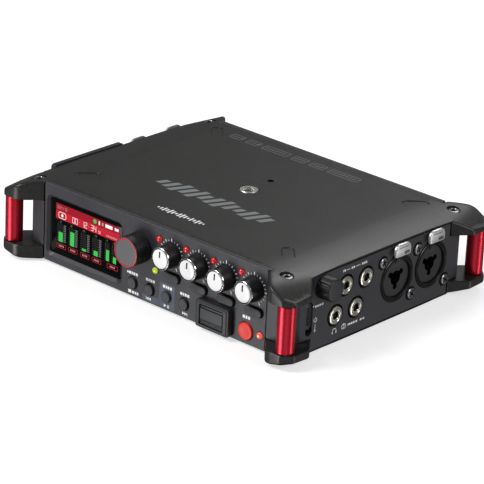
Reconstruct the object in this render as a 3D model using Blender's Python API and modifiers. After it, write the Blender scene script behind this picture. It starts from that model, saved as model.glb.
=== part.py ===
"""Portable field recorder.

Metres, +Z up, +X to the operator's right, -Y towards the operator.
The origin is on the ground under the middle of the case, between the rubber feet.
"""
import math

import bpy
import bmesh
from mathutils import Vector

MM = 0.001

# ---------------------------------------------------------------- driving sizes
GAP = 0.3 * MM                  # space between pieces that touch
REACH = 3.0 * MM                # how far a cutter runs past a face

FOOT_HEIGHT = 1.0 * MM
FOOT_LENGTH = 120.0 * MM
FOOT_WIDTH = 8.0 * MM
FOOT_TAPER = 0.2 * MM
FOOT_IN_Y = 19.61 * MM          # middle of each foot inside the front or rear panel

CASE_HALF_X = 81.24 * MM        # outer face of the side panels
CASE_HALF_Y = 59.61 * MM        # outer face of the front and rear panels
CASE_HEIGHT = 38.1 * MM         # underside of the case to its flat top
CORNER_CHAMFER = 6.2 * MM       # upright chamfer behind each post
PANEL_THICKNESS = 2.0 * MM
SHELL_WALL = 2.0 * MM
FLOOR_THICKNESS = 1.5 * MM
FRONT_PANEL_INSET = 13.74 * MM  # each end of the front panel inside the side panel
PANEL_LIFT = 0.15 * MM          # lower edge of the front panel above the underside
PANEL_TOP_DROP = 0.25 * MM      # its upper edge below the flat top
PANEL_ROUND = 0.35 * MM
SIDE_PANEL_LIFT = 1.0 * MM
OPENING_CORNER = 0.8 * MM

EAR_LOW_TOP = 6.55 * MM         # flat upper face of the lower ears
EAR_HIGH_DEPTH = 9.5 * MM       # flat lower face of the upper ears below the flat top
EAR_REACH_X = 7.06 * MM         # how far the ears stand out past the side panels
EAR_REACH_Y = 9.39 * MM         # and past the front and rear panels
EAR_SHOULDER_IN_X = 5.34 * MM   # where the diagonal meets the ear's front
EAR_SHOULDER_IN_Y = 5.01 * MM   # where the diagonal meets the ear's side
EAR_TIP = 4.2 * MM              # cut across the ear's outer corner
EAR_TIP_ROUND = 2.4 * MM
EAR_SHOULDER_ROUND = 1.6 * MM
EAR_ROOT_ROUND = 0.8 * MM
SIDE_EDGE_IN_Y = 12.81 * MM     # end of the straight side edge inside the front panel
EAR_TOP_DROP_X = 0.577          # fall of the ear's top per unit towards the side
EAR_TOP_DROP_Y = 0.107          # and towards the front or rear
EAR_TOP_DROP = 1.5 * MM         # fall of the ear's top at its shoulder
EAR_UNDER_AT_SHOULDER = 0.0 * MM
EAR_UNDER_RISE_X = 0.24
EAR_UNDER_RISE_Y = 0.05
ROOF_BEND_IN_X = 15.24 * MM     # the roof falls gently from here to the side
ROOF_EDGE_DROP = 2.1 * MM
SIDE_LIP_HEIGHT = 0.9 * MM      # thickness of the roof's side edge
EDGE_ROUND = 0.7 * MM

POST_OUT_X = 1.36 * MM          # middle of each post past the side panel
POST_OUT_Y = 4.09 * MM          # and past the front or rear panel
POST_HALF_LONG = 4.25 * MM      # half width across the corner's diagonal
POST_HALF_SHORT = 3.75 * MM

EAR_SCREW_IN_X = 6.54 * MM
EAR_SCREW_IN_Y = 3.51 * MM
EAR_SCREW_HEAD = 2.8 * MM
EAR_SCREW_HEAD_HEIGHT = 1.9 * MM
EAR_SCREW_SHANK = 1.25 * MM
EAR_SCREW_LENGTH = 5.2 * MM
EAR_SCREW_SOCKET = 1.45 * MM
EAR_SCREW_SOCKET_DEPTH = 1.2 * MM
SCREW_EDGE = 0.3 * MM
EAR_SCREW_SINK = 1.6 * MM       # head top below the flat top

INSERT_RADIUS = 4.4 * MM        # top threaded insert for a quarter-inch screw
INSERT_BORE = 2.5 * MM
INSERT_DEPTH = 7.0 * MM
INSERT_END = 1.0 * MM           # thickness of its closed end
INSERT_Y = 2.3 * MM
PIN_HOLE_RADIUS = 1.5 * MM
PIN_HOLE_Y = 17.4 * MM
PIN_HOLE_DEPTH = 1.2 * MM

GRIP_LENGTH = 12.4 * MM         # shallow grip recesses in the roof
GRIP_WIDTH = 5.8 * MM
GRIP_DEPTH = 0.5 * MM
GRIP_IN_X = 20.64 * MM
GRIP_FRONT_IN_Y = 20.21 * MM
GRIP_REAR_IN_Y = 13.01 * MM

SCREEN_X = -42.05 * MM          # middle of the display window
SCREEN_Z = 17.9 * MM
SCREEN_WIDTH = 45.4 * MM
SCREEN_HEIGHT = 26.6 * MM
SCREEN_SINK = 1.4 * MM
SCREEN_FLARE = 1.4 * MM         # the window widens by this much at the face
SCREEN_CORNER = 1.6 * MM
LENS_THICKNESS = 1.0 * MM
MODULE_THICKNESS = 2.3 * MM     # display module behind the glass
MODULE_INSET = 1.0 * MM

JOG_X = -7.3 * MM
JOG_Z = 24.8 * MM
JOG_RADIUS = 7.1 * MM
JOG_LENGTH = 9.3 * MM
JOG_SHAFT_RADIUS = 3.0 * MM
JOG_TRAVEL = 0.6 * MM
JOG_SPINDLE_RADIUS = 2.0 * MM   # the shaft inside the dial
JOG_SHOULDER = 1.6 * MM
JOG_WALL = 1.4 * MM
JOG_FACE = 1.7 * MM             # thickness of the dial's face
JOG_RIM = 1.0 * MM
JOG_EDGE = 0.5 * MM
JOG_HOLLOW = 0.3 * MM           # the face lies below the rim
JOG_DIMPLE_RADIUS = 0.9 * MM
JOG_DIMPLE_OUT = 4.2 * MM
JOG_DIMPLE_DEPTH = 0.4 * MM
SHAFT_STUB = 0.6 * MM           # shafts end this far behind the panel

KNOB_FIRST_X = 11.43 * MM
KNOB_PITCH = 16.11 * MM
KNOB_Z = 27.0 * MM
KNOB_RADIUS = 5.3 * MM
KNOB_FLARE = 0.4 * MM           # the foot of each knob is wider by this much
KNOB_LENGTH = 7.4 * MM
KNOB_STANDOFF = 0.5 * MM
KNOB_SHAFT_RADIUS = 2.0 * MM
KNOB_EDGE = 0.3 * MM
POINTER_WIDTH = 0.8 * MM        # groove in the face of a knob
POINTER_DEPTH = 0.4 * MM
POINTER_IN = 0.8 * MM
POINTER_OUT = 3.6 * MM
LAMP_OFFSET_X = -6.9 * MM       # lamp beside each gain knob
LAMP_Z = 32.4 * MM
LAMP_RADIUS = 1.5 * MM
LAMP_FLANGE = 0.6 * MM
LAMP_PROUD = 0.2 * MM           # the dome springs from here
LAMP_DOME = 1.2 * MM            # and rises by this much
LAMP_STRIP = 1.2 * MM           # half height and thickness of the shared light guide

KEY_RADIUS = 2.7 * MM           # round transport keys
KEY_FIRST_X = -11.0 * MM
KEY_PITCH = 10.4 * MM
KEY_Z = 6.75 * MM
KEY_PROUD = 1.3 * MM
KEY_TRAVEL = 0.8 * MM
KEY_MOAT = 0.35 * MM            # clearance round every key
KEY_FLANGE = 0.5 * MM
KEY_FLANGE_DEPTH = 0.9 * MM
KEY_EDGE = 0.4 * MM
KEY_FLAT = 0.2 * MM             # a track key's stem runs this far into its flange
REC_X = 56.6 * MM
REC_Z = 6.3 * MM
REC_RADIUS = 3.95 * MM
REC_PROUD = 1.0 * MM
REC_DISH = 0.3 * MM
PILL_OFFSET_X = 1.0 * MM        # track keys under the gain knobs
PILL_Z = 16.9 * MM
PILL_LENGTH = 9.8 * MM
PILL_HEIGHT = 3.9 * MM
PILL_PROUD = 1.4 * MM

STATUS_LAMP_X = 2.5 * MM
STATUS_LAMP_Z = 17.0 * MM
RECORD_LAMP_X = 64.6 * MM
RECORD_LAMP_Z = 6.8 * MM

ADAPTER_X = 39.3 * MM           # wireless adapter cover on the front
ADAPTER_Z = 7.3 * MM
ADAPTER_WIDTH = 19.4 * MM
ADAPTER_HEIGHT = 13.2 * MM
ADAPTER_PROUD = 3.6 * MM
ADAPTER_PLUG_WIDTH = 14.0 * MM
ADAPTER_PLUG_HEIGHT = 7.2 * MM
ADAPTER_WALL = 1.2 * MM
ADAPTER_CORNER = 1.0 * MM
ADAPTER_HOLLOW_WIDTH = 13.6 * MM
ADAPTER_HOLLOW_HEIGHT = 9.4 * MM
ADAPTER_HOLLOW_DEPTH = 0.9 * MM
ADAPTER_FLOOR = 0.4 * MM        # the plug is hollow up to here, in front of the panel

VOLUME_Y = -39.2 * MM
VOLUME_Z = 29.2 * MM
VOLUME_RADIUS = 5.5 * MM
VOLUME_LENGTH = 7.0 * MM
JACK_RADIUS = 4.15 * MM         # bushing of a 3.5 mm jack
JACK_BORE = 1.75 * MM
JACK_COLLAR = 4.9 * MM
JACK_DEPTH = 14.0 * MM
JACK_END = 2.0 * MM             # thickness of a jack's closed end
JACK_PROUD = 0.7 * MM
JACK_SINK = 0.9 * MM            # collar's face below the panel's
JACK_EDGE = 0.4 * MM
JACKS = {
    "timecode_in_jack": (-24.6 * MM, 25.4 * MM),
    "timecode_out_jack": (-11.2 * MM, 25.4 * MM),
    "headphone_jack": (-30.6 * MM, 13.1 * MM),
    "external_in_jack": (-17.1 * MM, 13.0 * MM),
}
POWER_Y = -47.7 * MM
POWER_Z = 16.2 * MM
POWER_SLOT_WIDTH = 4.0 * MM
POWER_SLOT_HEIGHT = 15.6 * MM
POWER_TRAVEL = 2.4 * MM
POWER_SINK = 0.1 * MM
POWER_RIB_PITCH = 1.4 * MM
POWER_RIB_HEIGHT = 0.7 * MM
POWER_RIB_WIDTH = 2.4 * MM
POWER_RIB_PROUD = 0.5 * MM

COMBO_RIGHT_Y = 10.2 * MM
COMBO_LEFT_Y = 16.6 * MM
COMBO_SPACE = 1.8 * MM          # between two neighbouring combo connectors
COMBO_Z = 18.6 * MM
COMBO_RADIUS = 10.9 * MM
COMBO_RIM = 1.3 * MM            # width of the outer ring
COMBO_PROUD = 0.5 * MM
COMBO_SINK = 1.6 * MM
COMBO_BORE = 3.3 * MM
COMBO_BORE_DEPTH = 26.0 * MM
COMBO_DEPTH = 30.0 * MM
COMBO_STEP = 8.0 * MM           # the body is slimmer from here inwards
COMBO_SLIM = 1.0 * MM
COMBO_FUNNEL = 1.2 * MM
COMBO_EDGE = 0.4 * MM
PIN_HOLE_WIDE = 1.1 * MM        # radius of a three-pin contact's hole
PIN_HOLE_OUT = 1.6 * MM         # its middle outside the plug bore
PIN_HOLE_REACH = 12.0 * MM
LATCH_WIDTH = 11.0 * MM
LATCH_OVERLAP = 0.5 * MM        # the tab's lower edge hangs over the ring by this much
LATCH_HEIGHT = 7.0 * MM
LATCH_THICKNESS = 1.2 * MM
LATCH_TRAVEL = 1.0 * MM
LATCH_STEM_WIDTH = 7.0 * MM
LATCH_STEM_HEIGHT = 3.7 * MM
LATCH_STEM_REACH = 5.0 * MM
LATCH_CORNER = 2.2 * MM
LATCH_EDGE = 0.4 * MM

MEDIA_Y = -17.6 * MM            # media cover on the left side
MEDIA_LENGTH = 44.8 * MM
MEDIA_LOW = 4.0 * MM
MEDIA_DROP = 1.5 * MM            # top of the cover below the flat top
MEDIA_THICKNESS = 2.9 * MM
MEDIA_EDGE = 0.6 * MM
MEDIA_PORT_Z = 19.7 * MM
MEDIA_PORT_LENGTH = 34.0 * MM
MEDIA_PORT_HEIGHT = 18.0 * MM
MEDIA_PORT_DEPTH = 14.0 * MM
CARD_SINK = 0.4 * MM
CARD_SIDE = 3.0 * MM            # between the slot's end and the socket's
CARD_LOW = 1.0 * MM             # the slot above the socket's middle
CARD_HIGH = 6.0 * MM
CARD_END = 2.0 * MM

BATTERY_HALF_X = 30.0 * MM      # battery door in the underside
BATTERY_HALF_Y = 27.0 * MM
BATTERY_DOOR_THICKNESS = 1.4 * MM
BATTERY_TRAY_HEIGHT = 15.6 * MM
BATTERY_TRAY_WALL = 1.2 * MM
BOARD_OVER_TRAY = 2.0 * MM

BOARD_THICKNESS = 1.6 * MM
BOARD_CLEAR_X = 6.24 * MM       # between the main board and the combo connectors
BOARD_FRONT_IN_Y = 13.61 * MM
BOARD_REAR_IN_Y = 5.61 * MM
FRONT_BOARD_GAP = 0.3 * MM      # front board behind the display module
FRONT_BOARD_SIDE = 1.5 * MM
FRONT_BOARD_LOW = 3.0 * MM
FRONT_BOARD_DROP = 3.6 * MM
SOCKET_WIDTH = 15.0 * MM        # video sockets at the rear
SOCKET_HEIGHT = 5.6 * MM
SOCKET_DEPTH = 11.0 * MM
SOCKET_WALL = 0.5 * MM
SOCKET_X = (22.0 * MM, -2.0 * MM)
USB_X = -24.0 * MM
USB_WIDTH = 9.0 * MM
USB_HEIGHT = 3.3 * MM
SOCKET_CORNER = 0.7 * MM
SOCKET_SINK = 0.3 * MM          # sockets' faces behind the panel's
SOCKET_END = 2.0 * MM

# ---------------------------------------------------------------- derived places
GROUND = FOOT_HEIGHT            # height of the case's underside
FRONT_PANEL_HALF = CASE_HALF_X - FRONT_PANEL_INSET
EAR_OUT_X = CASE_HALF_X + EAR_REACH_X
EAR_OUT_Y = CASE_HALF_Y + EAR_REACH_Y
EAR_SHOULDER_X = CASE_HALF_X - EAR_SHOULDER_IN_X
EAR_SHOULDER_Y = CASE_HALF_Y - EAR_SHOULDER_IN_Y
EAR_HIGH_BOTTOM = CASE_HEIGHT - EAR_HIGH_DEPTH
EAR_TOP_AT_SHOULDER = CASE_HEIGHT - EAR_TOP_DROP
SIDE_EDGE_Y = CASE_HALF_Y - SIDE_EDGE_IN_Y
ROOF_BEND_X = CASE_HALF_X - ROOF_BEND_IN_X
ROOF_EDGE_Z = CASE_HEIGHT - ROOF_EDGE_DROP
FOOT_Y = CASE_HALF_Y - FOOT_IN_Y
GRIP_X = CASE_HALF_X - GRIP_IN_X
GRIP_FRONT_Y = CASE_HALF_Y - GRIP_FRONT_IN_Y
GRIP_REAR_Y = CASE_HALF_Y - GRIP_REAR_IN_Y
POST_X = CASE_HALF_X + POST_OUT_X
POST_Y = CASE_HALF_Y + POST_OUT_Y
EAR_SCREW_X = CASE_HALF_X - EAR_SCREW_IN_X
EAR_SCREW_Y = CASE_HALF_Y - EAR_SCREW_IN_Y
KNOB_BASE_RADIUS = KNOB_RADIUS + KNOB_FLARE
COMBO_PITCH = 2 * COMBO_RADIUS + COMBO_SPACE
COMBO_LIP = COMBO_RADIUS - COMBO_RIM
LATCH_LOW = COMBO_RADIUS - LATCH_OVERLAP
LATCH_HIGH = LATCH_LOW + LATCH_HEIGHT
LATCH_BACK = COMBO_PROUD + LATCH_TRAVEL + GAP
LATCH_FACE = LATCH_BACK + LATCH_THICKNESS
LATCH_STEM_LOW = COMBO_RADIUS + 2 * GAP
LATCH_STEM_HIGH = LATCH_STEM_LOW + LATCH_STEM_HEIGHT
MEDIA_HEIGHT = CASE_HEIGHT - MEDIA_DROP - MEDIA_LOW
PANEL_INNER_Y = CASE_HALF_Y - PANEL_THICKNESS
PANEL_INNER_X = CASE_HALF_X - PANEL_THICKNESS
SHELL_FRONT_Y = PANEL_INNER_Y - GAP
SHELL_SIDE_X = CASE_HALF_X + GAP / 2
SHELL_REBATE_X = PANEL_INNER_X - GAP
SHELL_INNER_X = SHELL_REBATE_X - SHELL_WALL
SIDE_LIP_Z = ROOF_EDGE_Z - SIDE_LIP_HEIGHT
SIDE_PANEL_TOP = SIDE_LIP_Z - GAP
SIDE_PANEL_BOTTOM = SIDE_PANEL_LIFT
PANEL_TOP = CASE_HEIGHT - PANEL_TOP_DROP
KEY_BACK = PANEL_THICKNESS + GAP        # flanges start here behind the panel's face
MODULE_FRONT = SCREEN_SINK + LENS_THICKNESS + GAP
MODULE_BACK = MODULE_FRONT + MODULE_THICKNESS
FRONT_BOARD_Y = CASE_HALF_Y - MODULE_BACK - FRONT_BOARD_GAP
MAIN_BOARD_Z = FLOOR_THICKNESS + BATTERY_TRAY_HEIGHT + BOARD_OVER_TRAY
MAIN_BOARD_HALF_X = CASE_HALF_X - COMBO_DEPTH - BOARD_CLEAR_X
MAIN_BOARD_FRONT_Y = BOARD_FRONT_IN_Y - CASE_HALF_Y
MAIN_BOARD_REAR_Y = CASE_HALF_Y - BOARD_REAR_IN_Y
KNOB_XS = [KNOB_FIRST_X + KNOB_PITCH * index for index in range(4)]

FRONT = (math.radians(90), 0, 0)                    # local +Z points out of the front
RIGHT = (math.radians(90), 0, math.radians(90))
LEFT = (math.radians(90), 0, math.radians(-90))
REAR = (math.radians(90), 0, math.radians(180))
UP = (0, 0, 0)
CORNERS = {
    "front_left": (-1, -1),
    "front_right": (1, -1),
    "rear_left": (-1, 1),
    "rear_right": (1, 1),
}


# ---------------------------------------------------------------- scene set-up
for old in list(bpy.data.objects):
    bpy.data.objects.remove(old, do_unlink=True)

parts = bpy.data.collections.new("field_recorder")
cutters = bpy.data.collections.new("field_recorder_cutters")
bpy.context.scene.collection.children.link(parts)
bpy.context.scene.collection.children.link(cutters)


def material(name, color, roughness, metallic=0.0):
    """A Principled material of one colour."""
    made = bpy.data.materials.new(name)
    made.use_nodes = True
    shader = made.node_tree.nodes["Principled BSDF"]
    shader.inputs["Base Color"].default_value = (*color, 1)
    shader.inputs["Roughness"].default_value = roughness
    shader.inputs["Metallic"].default_value = metallic
    return made


CHARCOAL = material("charcoal_shell", (0.035, 0.035, 0.033), 0.55)
PANEL = material("panel_grey", (0.05, 0.052, 0.058), 0.5)
BLACK = material("black_plastic", (0.012, 0.012, 0.012), 0.4)
KEY_GREY = material("key_rubber", (0.045, 0.047, 0.05), 0.6)
RED_METAL = material("red_anodised", (0.55, 0.02, 0.03), 0.3, 0.8)
RED_KEY = material("red_key", (0.6, 0.04, 0.03), 0.45)
RED_LIGHT = material("red_light_guide", (0.75, 0.03, 0.03), 0.15)
GREEN_LIGHT = material("green_light_guide", (0.35, 0.8, 0.05), 0.15)
AMBER_LIGHT = material("record_light_guide", (0.9, 0.15, 0.03), 0.15)
NICKEL = material("nickel", (0.75, 0.72, 0.62), 0.25, 1.0)
SILVER = material("satin_silver", (0.8, 0.8, 0.78), 0.3, 1.0)
STEEL = material("black_steel", (0.06, 0.06, 0.06), 0.35, 0.8)
GLASS = material("display_glass", (0.01, 0.01, 0.01), 0.05)
DISPLAY = material("display", (0.1, 0.02, 0.02), 0.3)
BOARD = material("circuit_board", (0.02, 0.12, 0.05), 0.5)
RUBBER = material("foot_rubber", (0.02, 0.02, 0.02), 0.8)


# ---------------------------------------------------------------- building blocks
def add_object(name, mesh, look=None, place=(0, 0, 0), facing=UP):
    """A part when it has a material, or else a cutter drawn as wire."""
    obj = bpy.data.objects.new(name, mesh)
    obj.location = place
    obj.rotation_euler = facing
    if look is None:
        cutters.objects.link(obj)
        obj.hide_render = True
        obj.display_type = "WIRE"
    else:
        parts.objects.link(obj)
        if not mesh.materials:
            mesh.materials.append(look)
    return obj


def mesh_from(build):
    """The mesh that a function fills a new bmesh with."""
    shape = bmesh.new()
    build(shape)
    bmesh.ops.recalc_face_normals(shape, faces=shape.faces)
    mesh = bpy.data.meshes.new("shape")
    shape.to_mesh(mesh)
    shape.free()
    return mesh


def box_mesh(low, high):
    """An upright box between two corners."""
    def build(shape):
        made = bmesh.ops.create_cube(shape, size=1.0)
        for vert in made["verts"]:
            vert.co = Vector([
                low[axis] if vert.co[axis] < 0 else high[axis] for axis in range(3)
            ])
    return mesh_from(build)


def rod_mesh(radius, bottom, top, sides=32, top_radius=None):
    """A rod or cone along Z."""
    def build(shape):
        made = bmesh.ops.create_cone(
            shape, cap_ends=True, segments=sides, radius1=radius,
            radius2=radius if top_radius is None else top_radius, depth=top - bottom)
        for vert in made["verts"]:
            vert.co.z += (top + bottom) / 2
    return mesh_from(build)


def rounded_outline(corners, steps=3):
    """Points round a closed outline whose corners are (x, y, radius), counter-clockwise."""
    points = []
    count = len(corners)
    for index, (x, y, radius) in enumerate(corners):
        corner = Vector((x, y))
        before = Vector(corners[index - 1][:2])
        after = Vector(corners[(index + 1) % count][:2])
        if radius <= 0:
            points.append(corner)
            continue
        inward = (before - corner).normalized()
        outward = (after - corner).normalized()
        half_angle = inward.angle(outward) / 2
        centre = corner + (inward + outward).normalized() * (radius / math.sin(half_angle))
        start = corner + inward * (radius / math.tan(half_angle)) - centre
        sweep = start.angle_signed(corner + outward * (radius / math.tan(half_angle)) - centre)
        for step in range(steps + 1):
            turned_by = -sweep * step / steps
            cosine = math.cos(turned_by)
            sine = math.sin(turned_by)
            points.append(centre + Vector((
                start.x * cosine - start.y * sine, start.x * sine + start.y * cosine)))
    return points


def plate_mesh(points, bottom, top):
    """A flat outline with a thickness along Z, as a closed mesh."""
    curve = bpy.data.curves.new("outline", "CURVE")
    curve.dimensions = "2D"
    curve.fill_mode = "BOTH"
    curve.extrude = (top - bottom) / 2
    spline = curve.splines.new("POLY")
    spline.points.add(len(points) - 1)
    for spline_point, point in zip(spline.points, points):
        spline_point.co = (point.x, point.y, 0, 1)
    spline.use_cyclic_u = True
    guide = bpy.data.objects.new("outline", curve)
    cutters.objects.link(guide)
    graph = bpy.context.evaluated_depsgraph_get()
    mesh = bpy.data.meshes.new_from_object(guide.evaluated_get(graph))
    bpy.data.objects.remove(guide, do_unlink=True)
    shape = bmesh.new()
    shape.from_mesh(mesh)
    bmesh.ops.remove_doubles(shape, verts=shape.verts, dist=0.001 * MM)
    for vert in shape.verts:
        vert.co.z += (top + bottom) / 2
    bmesh.ops.recalc_face_normals(shape, faces=shape.faces)
    shape.to_mesh(mesh)
    shape.free()
    return mesh


def tablet_mesh(width, height, radius, bottom, top, inset=0.0, steps=4):
    """A rounded rectangle along Z, whose bottom end is smaller by inset a side."""
    half_x = width / 2
    half_y = height / 2
    outline = rounded_outline([
        (-half_x, -half_y, radius), (half_x, -half_y, radius),
        (half_x, half_y, radius), (-half_x, half_y, radius),
    ], steps)
    mesh = plate_mesh(outline, bottom, top)
    middle = (bottom + top) / 2
    for vert in mesh.vertices:
        if vert.co.z < middle:
            vert.co.x -= math.copysign(inset, vert.co.x)
            vert.co.y -= math.copysign(inset, vert.co.y)
    return mesh


def turned_mesh(profile, sides=32):
    """A turned shape from (radius, height) points, down its outer side."""
    outline = bpy.data.meshes.new("profile")
    count = len(profile)
    outline.from_pydata(
        [(radius, 0, height) for radius, height in profile],
        [(index, index + 1) for index in range(count - 1)], [])
    guide = bpy.data.objects.new("profile", outline)
    cutters.objects.link(guide)
    screw = guide.modifiers.new("turn", "SCREW")
    screw.steps = sides
    screw.render_steps = sides
    screw.use_merge_vertices = True
    screw.merge_threshold = 0.001 * MM
    mesh = baked(guide)
    bpy.data.objects.remove(guide, do_unlink=True)
    return mesh


def baked(obj):
    """The object's mesh with its modifiers worked in."""
    graph = bpy.context.evaluated_depsgraph_get()
    mesh = bpy.data.meshes.new_from_object(obj.evaluated_get(graph))
    return mesh


def combine(obj, mesh, operation, place=(0, 0, 0), facing=UP):
    """Join a mesh to a part, or cut it out, by an exact Boolean."""
    tool = add_object(obj.name + "_" + operation.lower(), mesh, None, place, facing)
    change = obj.modifiers.new(operation.lower(), "BOOLEAN")
    change.operation = operation
    change.solver = "EXACT"
    change.object = tool


def cut(obj, mesh, place=(0, 0, 0), facing=UP):
    """Cut a mesh out of a part."""
    combine(obj, mesh, "DIFFERENCE", place, facing)


def join(obj, mesh, place=(0, 0, 0), facing=UP):
    """Join a mesh to a part."""
    combine(obj, mesh, "UNION", place, facing)


def round_edges(obj, width, segments=2, angle=35):
    """Round the part's sharp edges."""
    bevel = obj.modifiers.new("round", "BEVEL")
    bevel.width = width
    bevel.segments = segments
    bevel.limit_method = "ANGLE"
    bevel.angle_limit = math.radians(angle)


def finished_mesh(obj):
    """Work in a prototype's modifiers, remove it and its tools, and keep its mesh."""
    mesh = baked(obj)
    for change in list(obj.modifiers):
        if change.type == "BOOLEAN":
            bpy.data.objects.remove(change.object, do_unlink=True)
    bpy.data.objects.remove(obj, do_unlink=True)
    return mesh


def smooth(obj, angle=35):
    """Shade the round surfaces smooth."""
    obj.data.shade_smooth()
    obj.data.set_sharp_from_angle(angle=math.radians(angle))


def front_place(x, z):
    """A point on the front panel's outer face."""
    return (x, -CASE_HALF_Y, GROUND + z)


def rear_place(x, z):
    """A point on the rear panel's outer face."""
    return (x, CASE_HALF_Y, GROUND + z)


def side_place(side, y, z):
    """A point on a side panel's outer face; side is +1 on the right, -1 on the left."""
    return (side * CASE_HALF_X, y, GROUND + z)


def side_facing(side):
    """The outward facing of a side panel."""
    return RIGHT if side > 0 else LEFT


def combo_places():
    """Side, y and number of each combo connector."""
    return [
        (1, COMBO_RIGHT_Y, 1),
        (1, COMBO_RIGHT_Y + COMBO_PITCH, 2),
        (-1, COMBO_LEFT_Y, 3),
        (-1, COMBO_LEFT_Y + COMBO_PITCH, 4),
    ]


# ---------------------------------------------------------------- case
def case_outline():
    """The case seen from above: a rectangle with an ear at each corner."""
    quarter = [
        (SHELL_SIDE_X, SIDE_EDGE_Y, EAR_ROOT_ROUND),
        (EAR_OUT_X, EAR_SHOULDER_Y, EAR_SHOULDER_ROUND),
        (EAR_OUT_X, EAR_OUT_Y - EAR_TIP, EAR_TIP_ROUND),
        (EAR_OUT_X - EAR_TIP, EAR_OUT_Y, EAR_TIP_ROUND),
        (EAR_SHOULDER_X, EAR_OUT_Y, EAR_SHOULDER_ROUND),
        (FRONT_PANEL_HALF + GAP, CASE_HALF_Y + GAP, 0),
        (FRONT_PANEL_HALF + GAP, SHELL_FRONT_Y, 0),
    ]
    corners = []
    for sign_x, sign_y in ((1, 1), (-1, 1), (-1, -1), (1, -1)):
        points = [(sign_x * x, sign_y * y, radius) for x, y, radius in quarter]
        corners += points if sign_x * sign_y > 0 else points[::-1]
    return rounded_outline(corners)


def slope_cutter(point, normal):
    """Place and facing for a block that removes all beyond a slanted plane."""
    turn = Vector(normal).to_track_quat("Z", "Y").to_euler()
    return tuple(point), tuple(turn)


def corner_slopes(obj, height, drop_x, drop_y, upward):
    """Slant each ear's outer surface towards its tip."""
    half = EAR_OUT_Y - REACH
    block = box_mesh((-half, -half, 0), (half, half, CASE_HEIGHT))
    for sign_x, sign_y in CORNERS.values():
        point = (sign_x * EAR_SHOULDER_X, sign_y * EAR_OUT_Y, GROUND + height)
        normal = (sign_x * drop_x, sign_y * drop_y, upward)
        cut(obj, block, *slope_cutter(point, normal))


def make_top_shell():
    """The upper shell: roof, upper ears and the wall behind the front panel."""
    top = GROUND + CASE_HEIGHT
    bottom = GROUND + EAR_HIGH_BOTTOM
    shell = add_object("top_shell", plate_mesh(case_outline(), bottom, top), CHARCOAL)
    half = EAR_OUT_X + REACH
    block = box_mesh((-half, -half, 0), (half, half, CASE_HEIGHT))
    for side in (1, -1):
        normal = (side * (CASE_HEIGHT - ROOF_EDGE_Z), 0, SHELL_SIDE_X - ROOF_BEND_X)
        cut(shell, block, *slope_cutter((side * ROOF_BEND_X, 0, top), normal))
    corner_slopes(shell, EAR_TOP_AT_SHOULDER, EAR_TOP_DROP_X, EAR_TOP_DROP_Y, 1)
    round_edges(shell, EDGE_ROUND, 1)
    roof = top - SHELL_WALL
    cut(shell, box_mesh(
        (-FRONT_PANEL_HALF, -CASE_HALF_Y, bottom - REACH),
        (FRONT_PANEL_HALF, CASE_HALF_Y, roof)))
    cut(shell, box_mesh(
        (-EAR_OUT_X, -SIDE_EDGE_Y + GAP, bottom - 2 * REACH),
        (EAR_OUT_X, SIDE_EDGE_Y - GAP, GROUND + SIDE_LIP_Z)))
    head_seat = top - EAR_SCREW_SINK - EAR_SCREW_HEAD_HEIGHT - GAP
    for sign_x, sign_y in CORNERS.values():
        place = (sign_x * EAR_SCREW_X, sign_y * EAR_SCREW_Y, 0)
        cut(shell, rod_mesh(EAR_SCREW_HEAD + GAP, head_seat, top + REACH, 24), place)
        cut(shell, rod_mesh(EAR_SCREW_SHANK + GAP, bottom - REACH, top, 16), place)
    cut(shell, rod_mesh(INSERT_RADIUS + GAP, bottom, top + REACH), (0, INSERT_Y, 0))
    cut(shell, rod_mesh(PIN_HOLE_RADIUS, top - PIN_HOLE_DEPTH, top + REACH, 20),
        (0, PIN_HOLE_Y, 0))
    grip = tablet_mesh(GRIP_LENGTH, GRIP_WIDTH, GRIP_WIDTH / 2.01, -GRIP_DEPTH, REACH, 0.0, 6)
    for sign_x, sign_y in CORNERS.values():
        y = GRIP_REAR_Y if sign_y > 0 else -GRIP_FRONT_Y
        turn = math.radians(45) * sign_x * sign_y
        cut(shell, grip, (sign_x * GRIP_X, y, top), (0, 0, turn))
    return shell


def make_bottom_shell():
    """The lower shell: floor, lower ears and the battery opening."""
    bottom = GROUND
    top = GROUND + EAR_LOW_TOP
    shell = add_object("bottom_shell", plate_mesh(case_outline(), bottom, top), CHARCOAL)
    corner_slopes(shell, EAR_UNDER_AT_SHOULDER, EAR_UNDER_RISE_X, EAR_UNDER_RISE_Y, -1)
    round_edges(shell, EDGE_ROUND, 1)
    floor = bottom + FLOOR_THICKNESS
    cut(shell, box_mesh(
        (-FRONT_PANEL_HALF, -CASE_HALF_Y, floor),
        (FRONT_PANEL_HALF, CASE_HALF_Y, top + REACH)))
    cut(shell, box_mesh(
        (-SHELL_INNER_X, -SIDE_EDGE_Y + GAP, floor),
        (SHELL_INNER_X, SIDE_EDGE_Y - GAP, top + 2 * REACH)))
    rebate = GROUND + SIDE_PANEL_BOTTOM - GAP
    for side in (1, -1):
        near, far = sorted((side * SHELL_REBATE_X, side * (EAR_OUT_X + REACH)))
        cut(shell, box_mesh(
            (near, -SIDE_EDGE_Y, rebate), (far, SIDE_EDGE_Y, top + REACH)))
    cut(shell, box_mesh(
        (-BATTERY_HALF_X - GAP, -BATTERY_HALF_Y - GAP, bottom - REACH),
        (BATTERY_HALF_X + GAP, BATTERY_HALF_Y + GAP, floor + REACH)))
    return shell


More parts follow.
